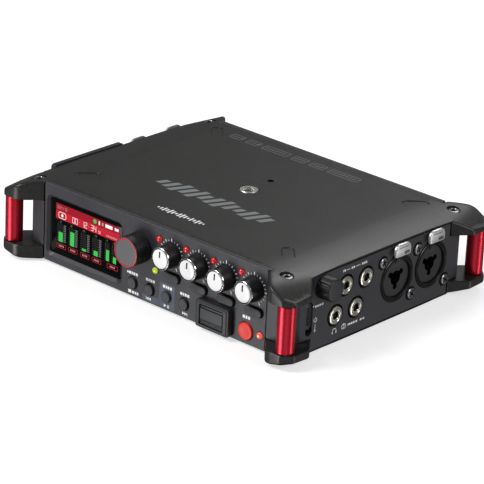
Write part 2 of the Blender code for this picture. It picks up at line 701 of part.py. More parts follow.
def make_posts():
    """The red metal posts between the ears."""
    for corner, (sign_x, sign_y) in CORNERS.items():
        mesh = rod_mesh(
            1.0, GROUND + EAR_LOW_TOP + GAP, GROUND + EAR_HIGH_BOTTOM - GAP, 32)
        for vert in mesh.vertices:
            vert.co.x *= POST_HALF_SHORT
            vert.co.y *= POST_HALF_LONG
        post = add_object(
            "corner_post_" + corner, mesh, RED_METAL,
            (sign_x * POST_X, sign_y * POST_Y, 0), (0, 0, math.radians(45) * sign_x * sign_y))
        smooth(post)


def make_ear_screws():
    """Hex-socket screws at the roots of the upper ears."""
    head = EAR_SCREW_HEAD_HEIGHT
    proto = add_object("proto", turned_mesh([
        (0, 0), (EAR_SCREW_HEAD - SCREW_EDGE, 0), (EAR_SCREW_HEAD, -SCREW_EDGE),
        (EAR_SCREW_HEAD, -head), (EAR_SCREW_SHANK, -head),
        (EAR_SCREW_SHANK, -head - EAR_SCREW_LENGTH), (0, -head - EAR_SCREW_LENGTH),
    ], 16), STEEL)
    cut(proto, rod_mesh(EAR_SCREW_SOCKET, -EAR_SCREW_SOCKET_DEPTH, REACH, 6))
    mesh = finished_mesh(proto)
    top = GROUND + CASE_HEIGHT - EAR_SCREW_SINK
    for corner, (sign_x, sign_y) in CORNERS.items():
        screw = add_object("ear_screw_" + corner, mesh, STEEL,
                           (sign_x * EAR_SCREW_X, sign_y * EAR_SCREW_Y, top))
        smooth(screw)


def make_feet():
    """Rubber foot strips under the lower shell."""
    mesh = tablet_mesh(
        FOOT_LENGTH, FOOT_WIDTH, FOOT_WIDTH / 2.02, 0, FOOT_HEIGHT - GAP, FOOT_TAPER, 6)
    add_object("foot_strip_front", mesh, RUBBER, (0, -FOOT_Y, 0))
    add_object("foot_strip_rear", mesh, RUBBER, (0, FOOT_Y, 0))


def make_top_insert():
    """Threaded insert in the roof for a camera or a stand screw."""
    top = GROUND + CASE_HEIGHT
    insert = add_object("top_thread_insert", turned_mesh([
        (0, INSERT_END - INSERT_DEPTH), (INSERT_BORE, INSERT_END - INSERT_DEPTH),
        (INSERT_BORE, -SCREW_EDGE), (INSERT_BORE + SCREW_EDGE, 0), (INSERT_RADIUS, 0),
        (INSERT_RADIUS, -INSERT_DEPTH), (0, -INSERT_DEPTH),
    ]), SILVER, (0, INSERT_Y, top))
    smooth(insert)


# ---------------------------------------------------------------- panels
def key_cutter(radius):
    """A round hole for a key or lamp, through a panel along local Z."""
    return rod_mesh(radius, -PANEL_THICKNESS - REACH, REACH, 20)


def make_front_panel():
    """The front panel with its window, keys' holes and adapter opening."""
    panel = add_object("front_panel", box_mesh(
        (-FRONT_PANEL_HALF, -CASE_HALF_Y, GROUND + PANEL_LIFT),
        (FRONT_PANEL_HALF, -PANEL_INNER_Y, GROUND + PANEL_TOP)), PANEL)
    round_edges(panel, PANEL_ROUND, 1)
    window = front_place(SCREEN_X, SCREEN_Z)
    cut(panel, tablet_mesh(
        SCREEN_WIDTH + 2 * SCREEN_FLARE, SCREEN_HEIGHT + 2 * SCREEN_FLARE,
        SCREEN_CORNER + SCREEN_FLARE, -SCREEN_SINK, 0.01 * MM, SCREEN_FLARE), window, FRONT)
    cut(panel, tablet_mesh(SCREEN_WIDTH, SCREEN_HEIGHT, SCREEN_CORNER,
                           -PANEL_THICKNESS - REACH, REACH), window, FRONT)
    cut(panel, key_cutter(JOG_SHAFT_RADIUS + GAP), front_place(JOG_X, JOG_Z), FRONT)
    pill = tablet_mesh(
        PILL_LENGTH + 2 * KEY_MOAT, PILL_HEIGHT + 2 * KEY_MOAT,
        PILL_HEIGHT / 2.02 + KEY_MOAT, -PANEL_THICKNESS - REACH, REACH, 0.0, 6)
    for x in KNOB_XS:
        cut(panel, key_cutter(KNOB_SHAFT_RADIUS + GAP), front_place(x, KNOB_Z), FRONT)
        cut(panel, key_cutter(LAMP_RADIUS + GAP), front_place(x + LAMP_OFFSET_X, LAMP_Z), FRONT)
        cut(panel, pill, front_place(x + PILL_OFFSET_X, PILL_Z), FRONT)
    for index in range(4):
        cut(panel, key_cutter(KEY_RADIUS + KEY_MOAT),
            front_place(KEY_FIRST_X + KEY_PITCH * index, KEY_Z), FRONT)
    cut(panel, key_cutter(REC_RADIUS + KEY_MOAT), front_place(REC_X, REC_Z), FRONT)
    cut(panel, key_cutter(LAMP_RADIUS + GAP), front_place(STATUS_LAMP_X, STATUS_LAMP_Z), FRONT)
    cut(panel, key_cutter(LAMP_RADIUS + GAP), front_place(RECORD_LAMP_X, RECORD_LAMP_Z), FRONT)
    cut(panel, tablet_mesh(
        ADAPTER_PLUG_WIDTH + 2 * GAP, ADAPTER_PLUG_HEIGHT + 2 * GAP, OPENING_CORNER,
        -PANEL_THICKNESS - REACH, REACH), front_place(ADAPTER_X, ADAPTER_Z), FRONT)
    return panel


def make_rear_panel():
    """The rear panel with openings for the video and data sockets."""
    panel = add_object("rear_panel", box_mesh(
        (-FRONT_PANEL_HALF, PANEL_INNER_Y, GROUND + PANEL_LIFT),
        (FRONT_PANEL_HALF, CASE_HALF_Y, GROUND + PANEL_TOP)), PANEL)
    round_edges(panel, PANEL_ROUND, 1)
    for x in SOCKET_X:
        cut(panel, tablet_mesh(
            SOCKET_WIDTH + 2 * GAP, SOCKET_HEIGHT + 2 * GAP, OPENING_CORNER,
            -PANEL_THICKNESS - REACH, REACH), rear_place(x, socket_z(SOCKET_HEIGHT)), REAR)
    cut(panel, tablet_mesh(
        USB_WIDTH + 2 * GAP, USB_HEIGHT + 2 * GAP, USB_HEIGHT / 2,
        -PANEL_THICKNESS - REACH, REACH), rear_place(USB_X, socket_z(USB_HEIGHT)), REAR)
    return panel


def side_panel(name, side):
    """A side panel that also wraps round the chamfered corners behind the posts."""
    outer_x = CASE_HALF_X
    outer_y = CASE_HALF_Y
    end_x = FRONT_PANEL_HALF + GAP
    wall = PANEL_THICKNESS
    bend = wall * math.tan(math.radians(22.5))
    outside = [
        (end_x, -outer_y), (outer_x - CORNER_CHAMFER, -outer_y),
        (outer_x, -outer_y + CORNER_CHAMFER), (outer_x, outer_y - CORNER_CHAMFER),
        (outer_x - CORNER_CHAMFER, outer_y), (end_x, outer_y),
    ]
    inside = [
        (end_x, outer_y - wall), (outer_x - CORNER_CHAMFER - bend, outer_y - wall),
        (outer_x - wall, outer_y - CORNER_CHAMFER - bend),
        (outer_x - wall, -outer_y + CORNER_CHAMFER + bend),
        (outer_x - CORNER_CHAMFER - bend, -outer_y + wall), (end_x, -outer_y + wall),
    ]
    outline = [Vector((side * x, y)) for x, y in outside + inside]
    panel = add_object(name, plate_mesh(
        outline, GROUND + EAR_LOW_TOP + GAP, GROUND + EAR_HIGH_BOTTOM - GAP), PANEL)
    near, far = sorted((side * PANEL_INNER_X, side * CASE_HALF_X))
    half = SIDE_EDGE_Y - 2 * GAP
    join(panel, box_mesh(
        (near, -half, GROUND + SIDE_PANEL_BOTTOM), (far, half, GROUND + SIDE_PANEL_TOP)))
    for combo_side, y, _ in combo_places():
        if combo_side != side:
            continue
        place = side_place(side, y, COMBO_Z)
        cut(panel, rod_mesh(COMBO_RADIUS + GAP, -PANEL_THICKNESS - REACH, REACH, 32),
            place, side_facing(side))
        half_slot = LATCH_STEM_WIDTH / 2 + GAP
        cut(panel, box_mesh(
            (-half_slot, LATCH_LOW - REACH, -PANEL_THICKNESS - REACH),
            (half_slot, LATCH_STEM_HIGH + GAP, REACH)), place, side_facing(side))
    return panel


def make_right_panel():
    """The right side panel: combo connectors, jacks, volume knob and power switch."""
    panel = side_panel("right_panel", 1)
    for y, z in JACKS.values():
        cut(panel, key_cutter(JACK_COLLAR + GAP), side_place(1, y, z), RIGHT)
    cut(panel, key_cutter(KNOB_SHAFT_RADIUS + GAP), side_place(1, VOLUME_Y, VOLUME_Z), RIGHT)
    cut(panel, tablet_mesh(
        POWER_SLOT_WIDTH, POWER_SLOT_HEIGHT, POWER_SLOT_WIDTH / 2.02,
        -PANEL_THICKNESS - REACH, REACH, 0.0, 5), side_place(1, POWER_Y, POWER_Z), RIGHT)
    return panel


def make_left_panel():
    """The left side panel: combo connectors and the media port."""
    panel = side_panel("left_panel", -1)
    cut(panel, tablet_mesh(
        MEDIA_PORT_LENGTH + 2 * GAP, MEDIA_PORT_HEIGHT + 2 * GAP, OPENING_CORNER,
        -PANEL_THICKNESS - REACH, REACH), side_place(-1, MEDIA_Y, MEDIA_PORT_Z), LEFT)
    return panel


# ---------------------------------------------------------------- front controls
def make_screen():
    """The display's glass and the display module behind it."""
    lens = add_object("screen_lens", tablet_mesh(
        SCREEN_WIDTH - 2 * GAP, SCREEN_HEIGHT - 2 * GAP, SCREEN_CORNER,
        -SCREEN_SINK - LENS_THICKNESS, -SCREEN_SINK), GLASS,
        front_place(SCREEN_X, SCREEN_Z), FRONT)
    half_x = SCREEN_WIDTH / 2 - MODULE_INSET
    half_y = SCREEN_HEIGHT / 2 - MODULE_INSET
    add_object("display_module", box_mesh(
        (-half_x, -half_y, -MODULE_BACK), (half_x, half_y, -MODULE_FRONT)), DISPLAY,
        front_place(SCREEN_X, SCREEN_Z), FRONT)
    return lens


def make_jog():
    """The jog dial and the shaft that it turns on; pushing moves both."""
    place = front_place(JOG_X, JOG_Z)
    standoff = JOG_TRAVEL + GAP
    bore_end = JOG_LENGTH - JOG_FACE
    shaft_end = bore_end - GAP
    stub = -PANEL_THICKNESS - SHAFT_STUB
    shaft = add_object("jog_shaft", turned_mesh([
        (0, shaft_end), (JOG_SPINDLE_RADIUS, shaft_end),
        (JOG_SPINDLE_RADIUS, JOG_SHOULDER), (JOG_SHAFT_RADIUS, JOG_SHOULDER),
        (JOG_SHAFT_RADIUS, stub), (0, stub),
    ], 24), STEEL, place, FRONT)
    smooth(shaft)
    bore = JOG_SPINDLE_RADIUS + GAP / 3
    seat = JOG_SHOULDER + GAP
    hollow = JOG_RADIUS - JOG_WALL
    face = JOG_LENGTH - JOG_HOLLOW
    dial = add_object("jog_dial", turned_mesh([
        (0, bore_end), (bore, bore_end), (bore, seat), (hollow, seat), (hollow, standoff),
        (JOG_RADIUS, standoff), (JOG_RADIUS, JOG_LENGTH - JOG_EDGE),
        (JOG_RADIUS - JOG_EDGE, JOG_LENGTH), (JOG_RADIUS - JOG_RIM, JOG_LENGTH),
        (JOG_RADIUS - JOG_RIM - JOG_HOLLOW, face), (0, face),
    ][::-1], 32), BLACK, place, FRONT)
    smooth(dial)
    cut(dial, rod_mesh(JOG_DIMPLE_RADIUS, face - JOG_DIMPLE_DEPTH, JOG_LENGTH + REACH, 16),
        (place[0], place[1], place[2] + JOG_DIMPLE_OUT), FRONT)


def make_gain_knobs():
    """Four gain knobs with a pointer groove at twelve o'clock."""
    proto = add_object("proto", turned_mesh([
        (0, KNOB_LENGTH), (KNOB_RADIUS - KNOB_EDGE, KNOB_LENGTH),
        (KNOB_RADIUS, KNOB_LENGTH - KNOB_EDGE), (KNOB_BASE_RADIUS, KNOB_STANDOFF),
        (KNOB_SHAFT_RADIUS, KNOB_STANDOFF), (KNOB_SHAFT_RADIUS, -PANEL_THICKNESS - SHAFT_STUB),
        (0, -PANEL_THICKNESS - SHAFT_STUB),
    ], 32), BLACK)
    cut(proto, box_mesh((-POINTER_WIDTH / 2, POINTER_IN, KNOB_LENGTH - POINTER_DEPTH),
                        (POINTER_WIDTH / 2, POINTER_OUT, KNOB_LENGTH + REACH)))
    mesh = finished_mesh(proto)
    for index, x in enumerate(KNOB_XS):
        knob = add_object("gain_knob_%d" % (index + 1), mesh, BLACK,
                          front_place(x, KNOB_Z), FRONT)
        smooth(knob)


def lamp_mesh(reach_back):
    """A domed light guide along local Z with a flange behind the panel."""
    dome = [(LAMP_RADIUS * math.sin(angle), LAMP_PROUD + LAMP_DOME * math.cos(angle))
            for angle in (math.radians(step * 22.5) for step in range(5))]
    dome[0] = (0, dome[0][1])
    return turned_mesh(dome + [
        (LAMP_RADIUS, -KEY_BACK), (LAMP_RADIUS + LAMP_FLANGE, -KEY_BACK),
        (LAMP_RADIUS + LAMP_FLANGE, -reach_back), (0, -reach_back),
    ], 12)


def make_lamps():
    """The track lamps on one shared light guide, and two single lamps."""
    back = KEY_BACK + LAMP_STRIP
    first = KNOB_XS[0] + LAMP_OFFSET_X
    last = KNOB_XS[3] + LAMP_OFFSET_X
    guide = add_object("track_light_guide", box_mesh(
        (-LAMP_RADIUS - LAMP_FLANGE, -LAMP_STRIP, -back),
        (last - first + LAMP_RADIUS + LAMP_FLANGE, LAMP_STRIP, -KEY_BACK)),
        RED_LIGHT, front_place(first, LAMP_Z), FRONT)
    stalk = lamp_mesh(back - LAMP_PROUD)
    for x in KNOB_XS:
        join(guide, stalk, front_place(x + LAMP_OFFSET_X, LAMP_Z), FRONT)
    single = lamp_mesh(back)
    status = add_object("status_lamp", single, GREEN_LIGHT,
                        front_place(STATUS_LAMP_X, STATUS_LAMP_Z), FRONT)
    record = add_object("record_lamp", single.copy(), AMBER_LIGHT,
                        front_place(RECORD_LAMP_X, RECORD_LAMP_Z), FRONT)
    smooth(status)
    record.data.materials.clear()
    record.data.materials.append(AMBER_LIGHT)
    smooth(record)


def round_key_mesh(radius, proud, dish):
    """A round key: a cap through the panel and a flange behind it."""
    end = -KEY_BACK - KEY_FLANGE_DEPTH
    return turned_mesh([
        (0, proud - dish), (radius / 2, proud - dish / 2), (radius - KEY_EDGE, proud),
        (radius, proud - KEY_EDGE), (radius, -KEY_BACK), (radius + KEY_FLANGE, -KEY_BACK),
        (radius + KEY_FLANGE, end), (0, end),
    ], 24)


def make_keys():
    """Transport keys, the record key and the four track keys."""
    mesh = round_key_mesh(KEY_RADIUS, KEY_PROUD, 0.0)
    names = ("menu_key", "monitor_key", "play_key", "function_key")
    for index, name in enumerate(names):
        key = add_object(name, mesh, KEY_GREY,
                         front_place(KEY_FIRST_X + KEY_PITCH * index, KEY_Z), FRONT)
        smooth(key)
    record = add_object("record_key", round_key_mesh(REC_RADIUS, REC_PROUD, REC_DISH),
                        RED_KEY, front_place(REC_X, REC_Z), FRONT)
    smooth(record)
    radius = PILL_HEIGHT / 2.02
    proto = add_object("proto", tablet_mesh(
        PILL_LENGTH, PILL_HEIGHT, radius, -KEY_BACK - KEY_FLAT, PILL_PROUD, 0.0, 6), KEY_GREY)
    round_edges(proto, KEY_EDGE, 1, 60)
    join(proto, tablet_mesh(
        PILL_LENGTH + 2 * KEY_FLANGE, PILL_HEIGHT + 2 * KEY_FLANGE, radius,
        -KEY_BACK - KEY_FLANGE_DEPTH, -KEY_BACK, 0.0, 4))
    pill = finished_mesh(proto)
    for index, x in enumerate(KNOB_XS):
        key = add_object("track_key_%d" % (index + 1), pill, KEY_GREY,
                         front_place(x + PILL_OFFSET_X, PILL_Z), FRONT)
        smooth(key)


def make_adapter_cover():
    """The cover that pulls straight off the adapter socket."""
    place = front_place(ADAPTER_X, ADAPTER_Z)
    cover = add_object("adapter_cover", tablet_mesh(
        ADAPTER_WIDTH, ADAPTER_HEIGHT, ADAPTER_CORNER, GAP, ADAPTER_PROUD, 0.0, 3),
        KEY_GREY, place, FRONT)
    round_edges(cover, KEY_EDGE, 1, 50)
    corner = OPENING_CORNER - GAP
    floor = ADAPTER_PROUD - ADAPTER_HOLLOW_DEPTH
    join(cover, tablet_mesh(
        ADAPTER_PLUG_WIDTH, ADAPTER_PLUG_HEIGHT, corner,
        -PANEL_THICKNESS - SHAFT_STUB, ADAPTER_FLOOR + 2 * GAP, 0.0, 3), place, FRONT)
    cut(cover, tablet_mesh(
        ADAPTER_HOLLOW_WIDTH, ADAPTER_HOLLOW_HEIGHT, corner, floor, ADAPTER_PROUD + REACH,
        0.0, 3), place, FRONT)
    cut(cover, tablet_mesh(
        ADAPTER_PLUG_WIDTH - 2 * ADAPTER_WALL, ADAPTER_PLUG_HEIGHT - 2 * ADAPTER_WALL, corner,
        -PANEL_THICKNESS - REACH, ADAPTER_FLOOR, 0.0, 3), place, FRONT)


# ---------------------------------------------------------------- side controls
def make_volume_knob():
    """The fluted headphone volume knob."""
    place = side_place(1, VOLUME_Y, VOLUME_Z)
    proto = add_object("proto", turned_mesh([
        (0, VOLUME_LENGTH), (VOLUME_RADIUS - JOG_EDGE, VOLUME_LENGTH),
        (VOLUME_RADIUS, VOLUME_LENGTH - JOG_EDGE), (VOLUME_RADIUS, KNOB_STANDOFF),
        (KNOB_SHAFT_RADIUS, KNOB_STANDOFF), (KNOB_SHAFT_RADIUS, -PANEL_THICKNESS - SHAFT_STUB),
        (0, -PANEL_THICKNESS - SHAFT_STUB),
    ], 32), BLACK)
    cut(proto, box_mesh((-POINTER_WIDTH / 2, POINTER_IN, VOLUME_LENGTH - POINTER_DEPTH),
                        (POINTER_WIDTH / 2, VOLUME_RADIUS + REACH, VOLUME_LENGTH + REACH)))
    knob = add_object("volume_knob", finished_mesh(proto), BLACK, place, RIGHT)
    smooth(knob)


def make_jacks():
    """Four small round jacks with nickel bushings."""
    mesh = turned_mesh([
        (0, JACK_END - JACK_DEPTH), (JACK_BORE, JACK_END - JACK_DEPTH),
        (JACK_BORE, JACK_PROUD - JACK_EDGE), (JACK_BORE + JACK_EDGE, JACK_PROUD),
        (JACK_RADIUS - JACK_EDGE, JACK_PROUD), (JACK_RADIUS, JACK_PROUD - JACK_EDGE),
        (JACK_RADIUS, -JACK_SINK), (JACK_COLLAR, -JACK_SINK),
        (JACK_COLLAR, -JACK_DEPTH), (0, -JACK_DEPTH),
    ], 20)
    for name, (y, z) in JACKS.items():
        jack = add_object(name, mesh, NICKEL, side_place(1, y, z), RIGHT)
        smooth(jack)


def make_power_switch():
    """The spring-return power slider in its slot."""
    width = POWER_SLOT_WIDTH - 2 * GAP
    height = POWER_SLOT_HEIGHT - POWER_TRAVEL - 2 * GAP
    shift = POWER_TRAVEL / 2
    place = side_place(1, POWER_Y, POWER_Z + shift)
    slider = add_object("power_switch", tablet_mesh(
        width, height, width / 2.02, -PANEL_THICKNESS - SHAFT_STUB, -POWER_SINK, 0.0, 5),
        BLACK, place, RIGHT)
    half = POWER_RIB_WIDTH / 2
    for rib in range(-2, 3):
        low = rib * POWER_RIB_PITCH - POWER_RIB_HEIGHT / 2
        join(slider, box_mesh(
            (-half, low, -PANEL_THICKNESS / 2),
            (half, low + POWER_RIB_HEIGHT, POWER_RIB_PROUD)), place, RIGHT)


def make_combos():
    """Combo connectors: three-pin and quarter-inch plugs fit the same opening."""
    proto = add_object("proto", turned_mesh([
        (0, -COMBO_BORE_DEPTH), (COMBO_BORE, -COMBO_BORE_DEPTH), (COMBO_BORE, -COMBO_SINK),
        (COMBO_LIP - COMBO_FUNNEL, -COMBO_SINK), (COMBO_LIP, 0), (COMBO_LIP, COMBO_PROUD),
        (COMBO_RADIUS - COMBO_EDGE, COMBO_PROUD), (COMBO_RADIUS, COMBO_PROUD - COMBO_EDGE),
        (COMBO_RADIUS, -COMBO_STEP), (COMBO_RADIUS - COMBO_SLIM, -COMBO_STEP),
        (COMBO_RADIUS - COMBO_SLIM, -COMBO_DEPTH), (0, -COMBO_DEPTH),
    ], 32), BLACK)
    pin_circle = COMBO_BORE + PIN_HOLE_OUT
    for turn in (math.radians(150), math.radians(30), math.radians(270)):
        cut(proto, rod_mesh(PIN_HOLE_WIDE, -PIN_HOLE_REACH, REACH, 8),
            (pin_circle * math.cos(turn), pin_circle * math.sin(turn), 0))
    mesh = finished_mesh(proto)
    for side, y, number in combo_places():
        combo = add_object("combo_jack_%d" % number, mesh, BLACK,
                           side_place(side, y, COMBO_Z), side_facing(side))
        smooth(combo)


def make_latches():
    """The push tabs that let a three-pin plug go."""
    proto = add_object("proto", tablet_mesh(
        LATCH_WIDTH, LATCH_HEIGHT, LATCH_CORNER, LATCH_BACK, LATCH_FACE, 0.0, 4), SILVER)
    middle = (LATCH_LOW + LATCH_HIGH) / 2
    round_edges(proto, LATCH_EDGE, 2, 50)
    join(proto, box_mesh(
        (-LATCH_STEM_WIDTH / 2, LATCH_STEM_LOW - middle, -LATCH_STEM_REACH),
        (LATCH_STEM_WIDTH / 2, LATCH_STEM_HIGH - middle, LATCH_BACK + GAP)))
    mesh = finished_mesh(proto)
    for vert in mesh.vertices:
        vert.co.y += middle
    for side, y, number in combo_places():
        tab = add_object("latch_tab_%d" % number, mesh, SILVER,
                         side_place(side, y, COMBO_Z), side_facing(side))
        smooth(tab)


def make_media():
    """The hinged media cover and the card socket behind it."""
    hinge = (-CASE_HALF_X - GAP - MEDIA_THICKNESS, MEDIA_Y, GROUND + MEDIA_LOW)
    cover = add_object("media_cover", box_mesh(
        (0, -MEDIA_LENGTH / 2, 0),
        (MEDIA_THICKNESS, MEDIA_LENGTH / 2, MEDIA_HEIGHT)), PANEL, hinge)
    round_edges(cover, MEDIA_EDGE, 2)
    place = side_place(-1, MEDIA_Y, MEDIA_PORT_Z)
    socket = add_object("card_socket", tablet_mesh(
        MEDIA_PORT_LENGTH, MEDIA_PORT_HEIGHT, OPENING_CORNER - GAP, -MEDIA_PORT_DEPTH,
        -CARD_SINK, 0.0, 3), BLACK, place, LEFT)
    half = MEDIA_PORT_LENGTH / 2 - CARD_SIDE
    cut(socket, box_mesh(
        (-half, CARD_LOW, CARD_END - MEDIA_PORT_DEPTH), (half, CARD_HIGH, REACH)), place, LEFT)


# ---------------------------------------------------------------- inside and rear
def socket_z(height):
    """Height of the middle of a socket that stands on the main board."""
    return MAIN_BOARD_Z + BOARD_THICKNESS + GAP + height / 2


def make_boards():
    """The main board over the battery tray and the board behind the front panel."""
    main = GROUND + MAIN_BOARD_Z
    add_object("main_board", box_mesh(
        (-MAIN_BOARD_HALF_X, MAIN_BOARD_FRONT_Y, main),
        (MAIN_BOARD_HALF_X, MAIN_BOARD_REAR_Y, main + BOARD_THICKNESS)), BOARD)
    front = -FRONT_BOARD_Y
    add_object("front_board", box_mesh(
        (-FRONT_PANEL_HALF + FRONT_BOARD_SIDE, front, GROUND + FRONT_BOARD_LOW),
        (FRONT_PANEL_HALF - FRONT_BOARD_SIDE, front + BOARD_THICKNESS,
         GROUND + CASE_HEIGHT - FRONT_BOARD_DROP)), BOARD)


def make_battery():
    """The battery tray, open downwards, and the hinged door that closes it."""
    floor = GROUND + FLOOR_THICKNESS + GAP
    tray = add_object("battery_tray", box_mesh(
        (-BATTERY_HALF_X, -BATTERY_HALF_Y, floor),
        (BATTERY_HALF_X, BATTERY_HALF_Y, floor + BATTERY_TRAY_HEIGHT)), BLACK)
    wall = BATTERY_TRAY_WALL
    cut(tray, box_mesh(
        (-BATTERY_HALF_X + wall, -BATTERY_HALF_Y + wall, floor - REACH),
        (BATTERY_HALF_X - wall, BATTERY_HALF_Y - wall, floor + BATTERY_TRAY_HEIGHT - wall)))
    door = add_object("battery_door", box_mesh(
        (-BATTERY_HALF_X, 0, 0), (BATTERY_HALF_X, 2 * BATTERY_HALF_Y, BATTERY_DOOR_THICKNESS)),
        CHARCOAL, (0, -BATTERY_HALF_Y, GROUND))
    return door


def make_rear_sockets():
    """A pair of video sockets and a data socket on the main board's rear edge."""
    deep = PANEL_THICKNESS + SOCKET_DEPTH
    wall = SOCKET_WALL
    middle = (SOCKET_X[0] + SOCKET_X[1]) / 2
    half = (SOCKET_X[0] - SOCKET_X[1] + SOCKET_WIDTH) / 2 - 2 * SOCKET_WALL
    low = (SOCKET_HEIGHT - SOCKET_WALL) / 2
    place = rear_place(middle, socket_z(SOCKET_HEIGHT))
    pair = add_object("video_socket_pair", box_mesh(
        (-half, -low, -deep), (half, low, -PANEL_THICKNESS - GAP)), SILVER, place, REAR)
    for x in SOCKET_X:
        place = rear_place(x, socket_z(SOCKET_HEIGHT))
        join(pair, tablet_mesh(
            SOCKET_WIDTH, SOCKET_HEIGHT, SOCKET_CORNER, SOCKET_END + MM - deep, -SOCKET_SINK,
            0.0, 3),
            place, REAR)
        cut(pair, tablet_mesh(
            SOCKET_WIDTH - 2 * wall, SOCKET_HEIGHT - 2 * wall, SOCKET_CORNER - GAP,
            SOCKET_END - deep, REACH, 0.0, 3), place, REAR)
    place = rear_place(USB_X, socket_z(USB_HEIGHT))
    data = add_object("data_socket", tablet_mesh(
        USB_WIDTH, USB_HEIGHT, USB_HEIGHT / 2.02, -deep, -SOCKET_SINK, 0.0, 4),
        SILVER, place, REAR)
    cut(data, tablet_mesh(
        USB_WIDTH - 2 * wall, USB_HEIGHT - 2 * wall, USB_HEIGHT / 2.02 - wall,
        SOCKET_END - deep, REACH, 0.0, 4), place, REAR)


make_top_shell()
make_bottom_shell()
make_posts()
make_ear_screws()
make_feet()
make_top_insert()
make_front_panel()
make_rear_panel()
make_right_panel()
make_left_panel()
make_screen()
make_jog()
make_gain_knobs()
make_lamps()
make_keys()
make_adapter_cover()
make_volume_knob()
make_jacks()
make_power_switch()
make_combos()
make_latches()
make_media()
make_boards()
make_battery()
make_rear_sockets()
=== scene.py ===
import math
import bpy
import bmesh
from mathutils import Matrix, Vector
from mathutils.geometry import delaunay_2d_cdt


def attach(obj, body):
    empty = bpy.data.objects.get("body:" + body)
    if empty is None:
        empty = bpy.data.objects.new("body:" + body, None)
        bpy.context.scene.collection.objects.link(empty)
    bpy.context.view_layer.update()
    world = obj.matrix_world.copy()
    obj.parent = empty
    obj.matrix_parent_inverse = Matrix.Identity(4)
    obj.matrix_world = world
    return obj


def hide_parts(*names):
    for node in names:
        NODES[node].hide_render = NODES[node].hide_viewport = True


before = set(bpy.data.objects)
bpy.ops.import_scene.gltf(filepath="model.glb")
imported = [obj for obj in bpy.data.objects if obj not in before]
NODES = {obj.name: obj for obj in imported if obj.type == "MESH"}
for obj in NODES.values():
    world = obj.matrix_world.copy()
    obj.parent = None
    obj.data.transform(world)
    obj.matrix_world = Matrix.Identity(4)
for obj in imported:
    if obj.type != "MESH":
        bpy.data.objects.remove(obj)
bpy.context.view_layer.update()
MM = 0.001
ROOT = "case"

# Sizes are in millimetres. Heights start at the underside of the body, which the feet hold off the floor.
BODY_LIFT = 1.0
FACE_X = 81.24                       # outer faces of the side panels
FACE_Y = 59.61                       # outer faces of the front and rear panels
ROOF_Z = 38.1
EAR_X, EAR_Y = 67.85, 46.8           # the ears start past both of these
EAR_SCREW = (74.7, 56.1)
POST = (82.6, 63.9)
POST_SCREW_Z = 36.5
THREAD_Y = 2.3
INK_Z = 0.03                         # how far printed ink stands out

KNOB_X = [11.43 + 16.11 * i for i in range(4)]
KNOB_Z = 27.0
KEY_X = [-11.0 + 10.4 * i for i in range(4)]
KEY_Z = 6.75
SCREEN = (-42.05, 17.9)
SCREEN_SINK = 1.4
COMBO_Z = 18.6
COMBOS = ((1, 10.2, 1), (1, 33.8, 2), (-1, 16.6, 3), (-1, 40.2, 4))     # side, place along it, number

# The camera was fitted to the photograph; angles are in degrees and the place is in metres.
CAMERA_AZIMUTH, CAMERA_ELEVATION, CAMERA_ROLL = 41.40, 22.57, 2.76
CAMERA_PLACE = (0.7764, -0.8814, 0.5022)
CAMERA_LENS = 209.3

FLOOR_GLOW = 0.62
FLOOR_DROP = 0.00005                 # keeps the floor off the feet's lower faces
WORLD_STRENGTH = 0.17
LIGHTS = (                           # name, place, target (both in metres), width, height, power
    ("key", (-0.62, -1.15, 1.22), (0, 0, 0.02), 0.7, 0.7, 21),
    ("side", (1.3, 0.15, 0.7), (0.05, 0, 0.02), 0.6, 0.6, 7),
    ("back", (-0.40, 1.06, 1.08), (0, 0, 0.03), 0.7, 0.5, 5),
    ("low_front", (-0.36, -1.04, -0.46), (0, 0, 0.02), 0.40, 0.6, 6.0),
    ("low_corner", (0.82, -0.74, -0.46), (0, 0, 0.02), 0.80, 0.5, 0.7),
    ("low_side", (1.03, 0.41, -0.46), (0, 0, 0.02), 0.25, 0.8, 2.4),
)


# ------------------------------------------------------------------ camera
def make_camera():
    az, el, roll = (math.radians(a) for a in (CAMERA_AZIMUTH, CAMERA_ELEVATION, CAMERA_ROLL))
    back = Vector((math.sin(az) * math.cos(el), -math.cos(az) * math.cos(el), math.sin(el)))
    right = (-back).cross(Vector((0, 0, 1))).normalized()
    up = right.cross(-back).normalized()
    r2 = right * math.cos(roll) + up * math.sin(roll)
    u2 = -right * math.sin(roll) + up * math.cos(roll)
    data = bpy.data.cameras.new("camera")
    data.lens = CAMERA_LENS
    data.sensor_width = 36
    data.clip_end = 20
    cam = bpy.data.objects.new("camera", data)
    m = Matrix((r2, u2, back)).transposed().to_4x4()
    m.translation = Vector(CAMERA_PLACE)
    cam.matrix_world = m
    bpy.context.scene.collection.objects.link(cam)
    bpy.context.scene.camera = cam


make_camera()


